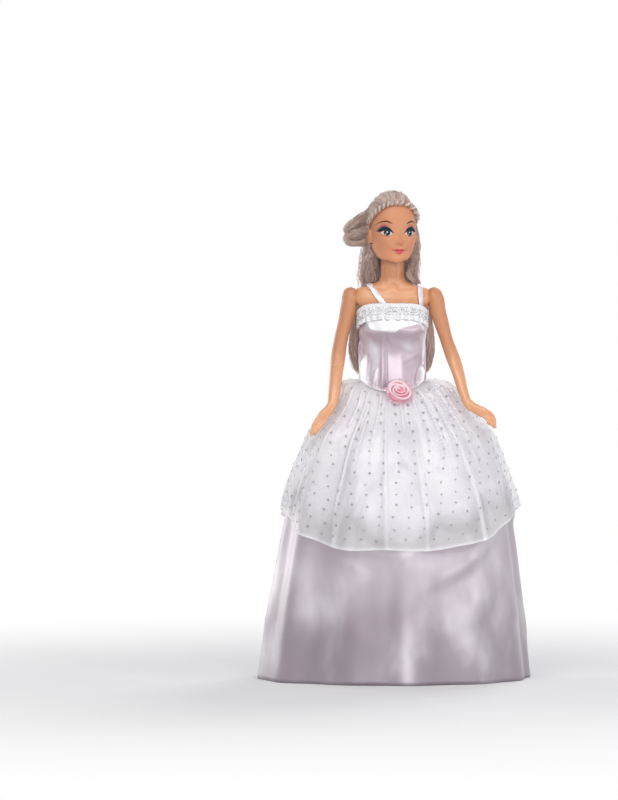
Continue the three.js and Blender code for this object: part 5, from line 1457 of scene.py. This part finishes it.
def skirt_point(turn, v, out_by):
    """The bell of the skirt: from the seam to the hem's oval, wider at the sides first, moved out by out_by."""
    drop, side_share, front_share = np.moveaxis(along(SKIRT_SHARES, v), -1, 0)
    start = seam_height(turn) - FIT_GAP
    waist = cloth_point(turn, start, SATIN_LIFT)
    c, s = np.cos(turn), np.sin(turn)
    share = mix(front_share, side_share, c**2)
    away = unit(np.stack([c * HEM_DEPTH, s * HEM_HALF], -1))
    slim = 7.5 * smooth(0.0, 0.15, v) * smooth(1.1, 0.3, v) * np.maximum(-c, 0) ** 1.5
    x = mix(waist[..., 0], HEM_HALF * c + HEM_SHIFT, share) + away[..., 0] * out_by + slim
    y = mix(waist[..., 1], HEM_DEPTH * s, share) + away[..., 1] * out_by
    return np.stack([x, y, mix(start, 0, drop)], -1)


def skirt_radius(v):
    """About how far the cloth is from the middle, to turn an angle into millimetres."""
    return mix(18.0, 71.0, along(SKIRT_SHARES, v)[..., 1])


def ridges(turn, v, rows):
    """Sum of rounded ridges. A row has the place round the skirt and its drift, the share of the drop where it
    begins and ends, its height and its half width, which grows on the way down."""
    total = np.zeros_like(turn)
    radius = skirt_radius(v)
    for place, drift, begin, end, height, half in rows:
        around = wrapped(turn - place - drift * v) * radius
        fade = smooth(begin - 0.04, begin + 0.1, v) * smooth(end + 0.12, end - 0.12, v)
        total += height * bump(around, 0, half * (1 + 1.6 * v)) * fade
    return total


def fold_rows(seed, count, shift, *ranges):
    """Rows for ridges, evenly round the skirt but for a random shift. The other values are drawn from their ranges
    in turn; a single number stays as it is."""
    rng = np.random.default_rng(seed)
    return [(k / count * TAU + rng.uniform(-shift, shift), *(rng.uniform(*r) if np.ndim(r) else r for r in ranges))
            for k in range(count)]


def constructed_folds(turn, v):
    """The satin's main folds, as in the construction: three waves round the skirt that deepen on the way down."""
    raw = 0.55 * np.sin(12 * turn) + 0.32 * np.sin(7 * turn + 0.4) + 0.2 * np.sin(5 * turn + 2.1)
    return 3.5 * raw * np.minimum(1, 0.3 + v) * np.minimum(1, v * 3)


def net_folds(turn, w):
    """The sheer skirt's own main folds, as in the construction: sixteen that stand out from the satin, whose places
    wander, uneven round the skirt, less to the doll's right, and deeper towards the hem."""
    uneven = (0.65 + 0.35 * np.sin(3 * turn + 1)) * mix(1.0, 0.3, np.maximum(-np.cos(turn), 0))
    place = 16 * turn + 1.3 * np.sin(2 * turn + 0.4) + 0.9 * np.sin(5 * turn + 2.0)
    return 2.8 * uneven * (0.5 + 0.5 * np.cos(place)) * w**1.5


# Drapes of the satin: place round the skirt and half width in radians, lowest share of the drop, rise, depth
SWAGS = [
    (0.03, 0.4, 0.585, 0.06, 3.0), (0.58, 0.34, 0.545, 0.05, 2.7), (-0.66, 0.44, 0.55, 0.09, 2.8),
    (-0.3, 0.3, 0.43, 0.07, 1.6), (0.32, 0.26, 0.39, 0.05, 1.4), (1.15, 0.36, 0.5, 0.07, 2.4),
    (-1.35, 0.4, 0.48, 0.08, 2.2), (1.9, 0.44, 0.55, 0.07, 2.6), (2.62, 0.4, 0.5, 0.06, 2.2),
    (-2.1, 0.44, 0.54, 0.07, 2.6), (-2.85, 0.4, 0.58, 0.06, 2.4),
]


def hanging_bell(past, above, below):
    """A bell round a line, with one half width above it and another below."""
    return bump(past, 0, np.where(past < 0, above, below))


def below_drapes_painted_shade(turn, v):
    """Painted shade below the drapes: how far a place lies below the bows of the drapes, from 0 above them to 1."""
    edge = np.full_like(turn, 0.46)
    for place, half, low, rise, _ in SWAGS:
        across = beside(turn, place) / half
        edge = np.maximum(edge, np.where(np.abs(across) < 1.1, low - rise * across**2, 0.46))
    return smooth(-0.05, 0.015, v - edge)


def swags(turn, v, below):
    """Drapes of the satin that hang like bows under the net: each is a bell round the line
    v = low - rise * (across / half)^2, wide above the line and below across under it."""
    total = np.zeros_like(turn)
    for place, half, low, rise, height in SWAGS:
        across = beside(turn, place) / half
        bell = hanging_bell(v - (low - rise * across**2), 0.1, below)
        total = np.maximum(total, height * bell * smooth(1.2, 0.6, np.abs(across)))
    return total


def satin_folds(turn, v, below=0.022):
    """Folds of the satin: the constructed ones, softer in front, sharper small ones between them, the drapes
    under the net, and diagonal drags below it."""
    rows = fold_rows(81, 20, 0.12, (-0.12, 0.12), (0.45, 0.65), 1.1, (-0.8, 1.2), (2.0, 4.4))
    across = beside(turn, 0)
    # Diagonals: share of the drop, slope and its origin, place and half width, depth, widths above and below
    lines = [(0.695, -0.17, 0.36, 0.74, 0.32, 3.6, 0.05, 0.02), (0.76, -0.2, 0.75, 0.8, 0.24, 1.8, 0.07, 0.04),
             (0.64, 0.09, -0.4, -0.44, 0.2, 2.2, 0.06, 0.03), (0.82, 0.16, -0.3, -0.3, 0.2, 1.0, 0.09, 0.06),
             (0.86, -0.16, 0.0, 0.0, 0.24, 0.9, 0.09, 0.06),
             (0.7, 0.05, 2.6, 2.6, 0.5, 2.6, 0.05, 0.025), (0.75, -0.1, -2.4, -2.4, 0.5, 2.6, 0.05, 0.025),
             (0.85, 0.12, 1.7, 1.7, 0.4, 0.7, 0.06, 0.04), (0.84, -0.12, -1.6, -1.6, 0.4, 0.7, 0.06, 0.04)]
    diagonal = 0.0
    for low, slope, origin, place, half, height, above, under in lines:
        bell = hanging_bell(v - (low + slope * (across - origin)), above, under)
        diagonal = diagonal + height * bell * bump(across, place, half)
    patch = 2.2 * bump(across, 0.34, 0.16) * bump(v, 0.66, 0.07)
    patch = patch + 1.6 * bump(across, 0.93, 0.12) * bump(v, 0.7, 0.05)
    calm = mix(1.0, 0.6, bump(across, 0.0, 1.0))
    return (constructed_folds(turn, v) * calm + ridges(turn, v, rows) + (diagonal + patch) * smooth(0.3, 0.55, v)
            + swags(turn, v, below))


def gather_rows(seed, count, depth):
    """Small gathers that begin at the waist seam."""
    return fold_rows(seed, count, 0.04, (-0.06, 0.06), 0.0, (0.12, 0.5), (0.5 * depth, 1.25 * depth), (0.6, 1.3))


def over_end(turn):
    """Share of the drop at which the sheer skirt ends, found by halving."""
    goal = mix(OVER_FRONT, OVER_SIDE, np.cos(turn) ** 4) + 0.8 * waves(turn / TAU, 5, 5, 12, 23)
    low, high = np.zeros_like(turn), np.ones_like(turn)
    for _ in range(18):
        middle = (low + high) / 2
        above = skirt_point(turn, middle, 0.0)[..., 2] > goal
        low, high = np.where(above, middle, low), np.where(above, high, middle)
    return low


def fine_folds(turn, v):
    """Small folds of the net: gathers that run out from the waist, and some longer ones."""
    g = bpy.context.scene.doll_gown
    gathers = ridges(turn, v, gather_rows(91, g.gathers, g.gather_depth / MM))
    rows = fold_rows(92, 22, 0.13, (-0.2, 0.2), (0.02, 0.3), (0.45, 0.8), (0.4, 1.2), (0.7, 1.3))
    return gathers + ridges(turn, v, rows)


def sheer_lift(turn, w, v):
    """How far the sheer skirt stands off the satin: more towards its hem, with its main and small folds, and a
    low hump beside the waist on each side."""
    stand = mix(1.0, 0.35, np.maximum(-np.cos(turn), 0))
    hump = 0.7 * bump(v, 0.05, 0.07) * np.cos(turn) ** 2
    ripple = 0.5 * np.sin(33 * turn + 2 * np.sin(4 * turn)) * smooth(0.8, 1.0, w)
    return SATIN_LIFT + 2.0 * stand * w**2 + net_folds(turn, w) + fine_folds(turn, v) + hump + np.maximum(ripple, -0.9)


def skirt_uv(grid):
    """UV in metres: round the skirt from the middle of each row, and down it, by the lengths of the grid's edges."""
    closed = np.concatenate([grid, grid[:, :1]], axis=1)
    across = run(closed, 1)
    return np.stack([across - across[:, -1:] / 2, run(closed)], -1) * MM


def make_underskirt():
    """Satin skirt from the waist seam to the floor."""
    turn, w = round_grid(440, 106)
    v = w**1.15
    gathers = ridges(turn, v, gather_rows(93, 44, 0.55)) * smooth(0.0, 0.02, v)
    grid = skirt_point(turn, v, satin_folds(turn, v) * smooth(0.0, 0.25, v) + gathers)
    # The field drape is painted shade on the satin below the drapes
    fields = {"drape_painted_shade": below_drapes_painted_shade(turn, v)}
    skirt = thicken(surface("underskirt_satin", grid, uv=skirt_uv(grid), fields=fields), 0.3)
    dress(skirt, None, "skirt_satin", replaces=("underskirt",))
    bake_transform(skirt)


def make_overskirt():
    """Sheer net skirt with silver dots in a slanting grid, a little above the satin."""
    turn, w = round_grid(640, 120)
    v = mix(0.004, over_end(turn), w**1.15)
    base = satin_folds(turn, v, 0.09) * smooth(0.0, 0.25, v)
    grid = skirt_point(turn, v, base + sheer_lift(turn, w, v) * smooth(-0.002, 0.02, v))
    grid[..., 2] += 1.8 * bump(v, 0.03, 0.05) * np.cos(turn) ** 2
    fine = fine_folds(turn, v)
    crest = fine - (np.roll(fine, 5, 1) + np.roll(fine, -5, 1)) / 2
    fold = np.clip(0.75 * crest, 0, 0.8) + bump(w, 1.0, 0.008)
    net = surface("overskirt_net", grid, uv=skirt_uv(grid), fields={"fold": fold})
    dress(net, None, "tulle", replaces=("overskirt",))
    dots = silver_dots(grid)
    dress(dots, None, "silver_dot")
    for piece in (net, dots):
        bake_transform(piece)


def silver_dots(grid):
    """Small domed discs of eight sides on the net, in rows whose places shift by half a step, at equal distances
    down the cloth and round it; rows near the waist have fewer."""
    g = bpy.context.scene.doll_gown
    spacing, radius = g.dot_spacing / MM, g.dot_radius / MM
    rng = np.random.default_rng(55)
    rows, cols = grid.shape[:2]
    down = run(grid).mean(1)
    places = []
    for k, depth in enumerate(np.arange(spacing * 0.4, down[-1] - 1.0, spacing * 0.86)):
        row = np.interp(depth, down, np.arange(rows))
        line = grid[int(round(row))]
        reach = run(np.vstack([line, line[:1]]))
        count = max(6, int(reach[-1] / spacing / 1.22))
        share = (np.arange(count) + 0.5 * (k % 2)) / count
        column = np.interp(share * reach[-1], reach, np.arange(cols + 1))
        places.append(np.column_stack([np.full(count, row) + rng.uniform(-0.7, 0.7, count), column]))
    places = np.vstack(places)
    r = np.clip(np.round(places[:, 0]).astype(int), 1, rows - 2)
    c = np.round(places[:, 1]).astype(int) % cols
    centre = grid[r, c]
    down_way = unit(grid[r + 1, c] - grid[r - 1, c])
    round_way = unit(grid[r, (c + 1) % cols] - grid[r, (c - 1) % cols])
    out = unit(np.cross(down_way, round_way))
    out *= np.sign(np.einsum("ij,ij->i", out[:, :2], centre[:, :2]))[:, None]
    size = radius * rng.uniform(0.75, 1.15, len(centre))[:, None, None]
    flat = spokes(np.arange(8) / 8 * TAU, down_way, round_way)
    levels = [(0.9, 0.05), (1.0, 0.2), (0.55, 0.36)]
    rings = [centre[:, None] + flat * size * share + out[:, None] * lift for share, lift in levels]
    middles = centre[:, None] + out[:, None] * np.array([0.4, 0.05])[:, None]
    points = np.concatenate([np.stack(rings, 1).reshape(len(centre), -1, 3), middles], axis=1)
    sides = [(p, (p + 1) % 8) for p in range(8)]
    one = [[k + p, k + q, k + 8 + q, k + 8 + p] for k in (0, 8) for p, q in sides]
    one += [[16 + p, 16 + q, 24, 24] for p, q in sides] + [[q, p, 25, 25] for p, q in sides]
    faces = np.array(one)[None] + (np.arange(len(centre)) * points.shape[1])[:, None, None]
    return mesh_from("silver_dots", points.reshape(-1, 3), faces.reshape(-1, 4))


def rose_frame():
    """Middle, right and up directions and outward direction of the rose, which leans on the front of the gown."""
    middle = sum(np.array(corner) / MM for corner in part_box("rose_frill")) / 2 + (-1.1, 0.0, -1.0)
    turn = np.array([-math.pi / 2 + 0.16])
    top = cloth_point(turn, seam_height(turn) + 7.0, 1.3)[0]
    foot = skirt_point(turn, np.array([0.1]), 2.0)[0]
    lean = math.atan2(top[1] - foot[1], top[2] - foot[2])
    out = np.array([0, -math.cos(lean), math.sin(lean)])
    up = np.array([0, math.sin(lean), math.cos(lean)])
    return middle, np.array([1.0, 0, 0]), up, out


def make_rose():
    """Ribbon rose: one ribbon wound outwards in a spiral, its front edge rolled out and pleated, on a ruffled
    frill of sheer ribbon."""
    middle, right, up, out = rose_frame()

    def placed(radius, turn, depth):
        x, z = radius * np.cos(turn), radius * np.sin(turn)
        return middle + x[..., None] * right + z[..., None] * up + np.broadcast_to(depth, x.shape)[..., None] * out

    t, s = np.meshgrid(np.linspace(0, 1, 620), np.linspace(0, 1, 26), indexing="ij")
    turn = 0.7 + TAU * 3.4 * t
    pleat = np.sin(turn * 2.5 + 0.8)
    oval = 1 + 0.16 * np.sin(turn * 2 + 1.0 + 2.2 * t)
    tall = mix(4.6, 2.7, t**1.4) * smooth(0.0, 0.03, t) * smooth(1.0, 0.965, t)
    lip = smooth(0.55, 1.0, s) ** 1.5
    radius = mix(0.35, 5.8, t**0.9) * oval + 0.5 * s + 1.0 * lip * mix(0.5, 1.2, t) + 0.3 * pleat * s
    depth = 0.9 + tall * s - 0.75 * lip**2 * mix(0.5, 1.3, t) + 0.25 * pleat * s
    rose = surface("rose_ribbon_spiral", placed(radius, turn, depth), wrap=False, uv=grid_uv(t * 0.1, s * 0.004),
                   fields={"depth": smooth(0.35, 1.0, s)})
    dress(thicken(rose, 0.3), "torso", "rose_ribbon", replaces=("waist_rose",))
    levels = [(5.2, 0.5), (6.1, 1.0), (6.3, 1.7), (5.4, 2.3), (2.5, 2.6)]
    cup = np.stack([placed(r, ring(64), d) for r, d in levels])
    # The cup gets depth 0, the full painted shade inside the rose
    cup = surface("rose_cup", cup, ends=True, fields={"depth": 0.0})
    dress(cup, "torso", "rose_ribbon")
    r, a = np.meshgrid(np.linspace(0.25, 1, 16), ring(260), indexing="ij")
    ruffle = np.cos(13 * a + 0.7 * np.sin(3 * a))
    grid = placed(8.4 * r * (1 + 0.05 * r * ruffle), a, 0.35 + 0.95 * r**2 * ruffle + 0.9 * r**2)
    frill = surface("rose_frill_sheer", grid, uv=grid_uv(np.linspace(0, 0.05, 261)[None], r[:, :1] * 0.008))
    dress(frill, "torso", "rose_sheer", replaces=("rose_frill",))


# Stage

def soft_lamp(name, place, target, size, power, tone=(1, 1, 1)):
    """A rectangular softbox that looks at the target."""
    lamp = bpy.data.lights.new(name, "AREA")
    lamp.shape = "RECTANGLE"
    lamp.size, lamp.size_y = size
    lamp.energy = power
    lamp.color = tone
    obj = link(name, lamp)
    obj.location = place
    obj.rotation_euler = (Vector(target) - Vector(place)).to_track_quat("-Z", "Y").to_euler()


def plain_world():
    """Pale grey light from all sides; the camera, reflections and see-through rays find plain white."""
    world = bpy.data.worlds.new("studio")
    bpy.context.scene.world = world
    world.use_nodes = True
    n = Nodes(world.node_tree)
    light = n.add("Background", {"Color": (0.95, 0.96, 1.0, 1), "Strength": 0.34})
    white = n.add("Background", {"Color": (1, 1, 1, 1)})
    shown = n.add("MixShader", {0: n.seen_plainly(), 1: light, 2: white})
    n.tree.links.new(shown, n.tree.nodes.new("ShaderNodeOutputWorld").inputs[0])


def floor_finish():
    """Pale floor that takes the shadow near the doll and is plain white to the camera farther out."""
    f = Finish("studio_floor", roughness=0.75, specular_ior_level=0.2)
    f.paint(f.blend(f.cloud(40.0), (0.93, 0.93, 0.94, 1), (0.96, 0.96, 0.965, 1)))
    glow = f.add("Emission", {"Color": (1, 1, 1, 1), "Strength": 1.0})
    reach = f.add("VectorMath", {0: f.place()}, out=1, operation="LENGTH")
    share = f.times(f.span(reach, 0.14, 0.62), f.seen_plainly())
    f.tree.links.new(f.add("MixShader", {0: share, 1: f.surface, 2: glow}), f.output.inputs[0])
    return f.material


def make_stage():
    """Camera at the photograph's angle, soft lamps, pale world and floor."""
    s = bpy.context.scene
    g = s.doll_stage
    camera = bpy.data.cameras.new("camera")
    camera.sensor_fit = "VERTICAL"
    camera.sensor_height = 24.0
    camera.lens = camera.sensor_height * g.distance / g.view_height
    camera.clip_end = 20
    s.camera = link("camera", camera)
    s.camera.matrix_world = Matrix.Translation((g.centre_across, -g.distance, g.centre_up)) @ Matrix.Rotation(
        math.radians(90), 4, "X")
    s.view_settings.view_transform = "Standard"
    plain_world()
    soft_lamp("key", (-0.12, -0.85, 1.0), (0, 0, 0.17), (1.2, 0.3), 5.4, (1.0, 0.985, 0.96))
    soft_lamp("front", (0.1, -1.2, 0.03), (0, 0, 0.22), (0.5, 0.3), 3.5)
    soft_lamp("fill", (0.85, -0.8, 0.5), (0, 0, 0.14), (0.5, 0.5), 2.3, (0.97, 0.98, 1.0))
    soft_lamp("rim", (0.4, 0.9, 0.8), (0, 0, 0.16), (0.5, 0.4), 3.6)
    soft_lamp("rim_low", (-0.7, 0.6, 0.3), (0, 0, 0.14), (0.4, 0.5), 1.8)
    bpy.ops.mesh.primitive_circle_add(vertices=96, radius=4.0, fill_type="NGON", location=(0, 0, -0.0002))
    floor = bpy.context.object
    floor.name = "studio_floor"
    floor.data.transform(floor.matrix_world)
    floor.matrix_world = Matrix.Identity(4)
    floor.data.materials.append(floor_finish())


# Operators, one for each group of pieces

class DOLL_OT_stage(bpy.types.Operator):
    """Camera, lamps and floor"""
    bl_idname = "doll.stage"
    bl_label = "Stage"

    def execute(self, context):
        make_stage()
        return {"FINISHED"}


class DOLL_OT_body(bpy.types.Operator):
    """Torso and neck"""
    bl_idname = "doll.body"
    bl_label = "Body"

    def execute(self, context):
        make_body()
        return {"FINISHED"}


class DOLL_OT_arms(bpy.types.Operator):
    """Both arms with their hands"""
    bl_idname = "doll.arms"
    bl_label = "Arms"

    def execute(self, context):
        make_arm("right")
        make_arm("left")
        return {"FINISHED"}


class DOLL_OT_carried(bpy.types.Operator):
    """Finishes of the constructed pieces"""
    bl_idname = "doll.carried"
    bl_label = "Legs, shoes and hip rod"

    def execute(self, context):
        finish_carried_nodes()
        return {"FINISHED"}


class DOLL_OT_head(bpy.types.Operator):
    """Head with its painted face"""
    bl_idname = "doll.head"
    bl_label = "Head"

    def execute(self, context):
        make_head()
        return {"FINISHED"}


class DOLL_OT_hair_cap(bpy.types.Operator):
    """Hair over the skull"""
    bl_idname = "doll.hair_cap"
    bl_label = "Combed hair"

    def execute(self, context):
        make_hair_cap()
        return {"FINISHED"}


class DOLL_OT_twist(bpy.types.Operator):
    """Twisted strand along the hairline"""
    bl_idname = "doll.twist"
    bl_label = "Front twist"

    def execute(self, context):
        make_front_twist()
        return {"FINISHED"}


class DOLL_OT_locks(bpy.types.Operator):
    """Flip, side locks and curls"""
    bl_idname = "doll.locks"
    bl_label = "Loose locks"

    def execute(self, context):
        make_loose_locks()
        return {"FINISHED"}


class DOLL_OT_back_hair(bpy.types.Operator):
    """Long hair down the back"""
    bl_idname = "doll.back_hair"
    bl_label = "Back hair"

    def execute(self, context):
        make_back_hair()
        return {"FINISHED"}


class DOLL_OT_bodice(bpy.types.Operator):
    """Bodice, lace, straps and placket"""
    bl_idname = "doll.bodice"
    bl_label = "Bodice"

    def execute(self, context):
        make_bodice()
        return {"FINISHED"}


class DOLL_OT_underskirt(bpy.types.Operator):
    """Satin skirt"""
    bl_idname = "doll.underskirt"
    bl_label = "Underskirt"

    def execute(self, context):
        make_underskirt()
        return {"FINISHED"}


class DOLL_OT_overskirt(bpy.types.Operator):
    """Sheer skirt with dots"""
    bl_idname = "doll.overskirt"
    bl_label = "Overskirt"

    def execute(self, context):
        make_overskirt()
        return {"FINISHED"}


class DOLL_OT_rose(bpy.types.Operator):
    """Ribbon rose and frill"""
    bl_idname = "doll.rose"
    bl_label = "Rose"

    def execute(self, context):
        make_rose()
        return {"FINISHED"}


STEPS = (
    DOLL_OT_stage, DOLL_OT_body, DOLL_OT_arms, DOLL_OT_carried, DOLL_OT_head, DOLL_OT_hair_cap, DOLL_OT_twist,
    DOLL_OT_locks, DOLL_OT_back_hair, DOLL_OT_bodice, DOLL_OT_underskirt, DOLL_OT_overskirt, DOLL_OT_rose,
)
SETTINGS = {
    "doll_stage": DollStageSettings, "doll_body": DollBodySettings,
    "doll_hair": DollHairSettings, "doll_gown": DollGownSettings,
}


class DOLL_PT_panel(bpy.types.Panel):
    """Lists the steps that build the doll"""
    bl_idname = "DOLL_PT_panel"
    bl_label = "Ball gown doll"
    bl_space_type = "VIEW_3D"
    bl_region_type = "UI"
    bl_category = "Doll"

    def draw(self, context):
        for step in STEPS:
            self.layout.operator(step.bl_idname)


def register():
    for cls in (*SETTINGS.values(), *STEPS, DOLL_PT_panel):
        bpy.utils.register_class(cls)
    for name, cls in SETTINGS.items():
        setattr(bpy.types.Scene, name, bpy.props.PointerProperty(type=cls))


def unregister():
    for name in SETTINGS:
        delattr(bpy.types.Scene, name)
    for cls in (DOLL_PT_panel, *reversed(STEPS), *SETTINGS.values()):
        bpy.utils.unregister_class(cls)


def main():
    register()
    for step in STEPS:
        getattr(bpy.ops.doll, step.bl_idname.split(".")[1])()


if __name__ == "__main__":
    main()
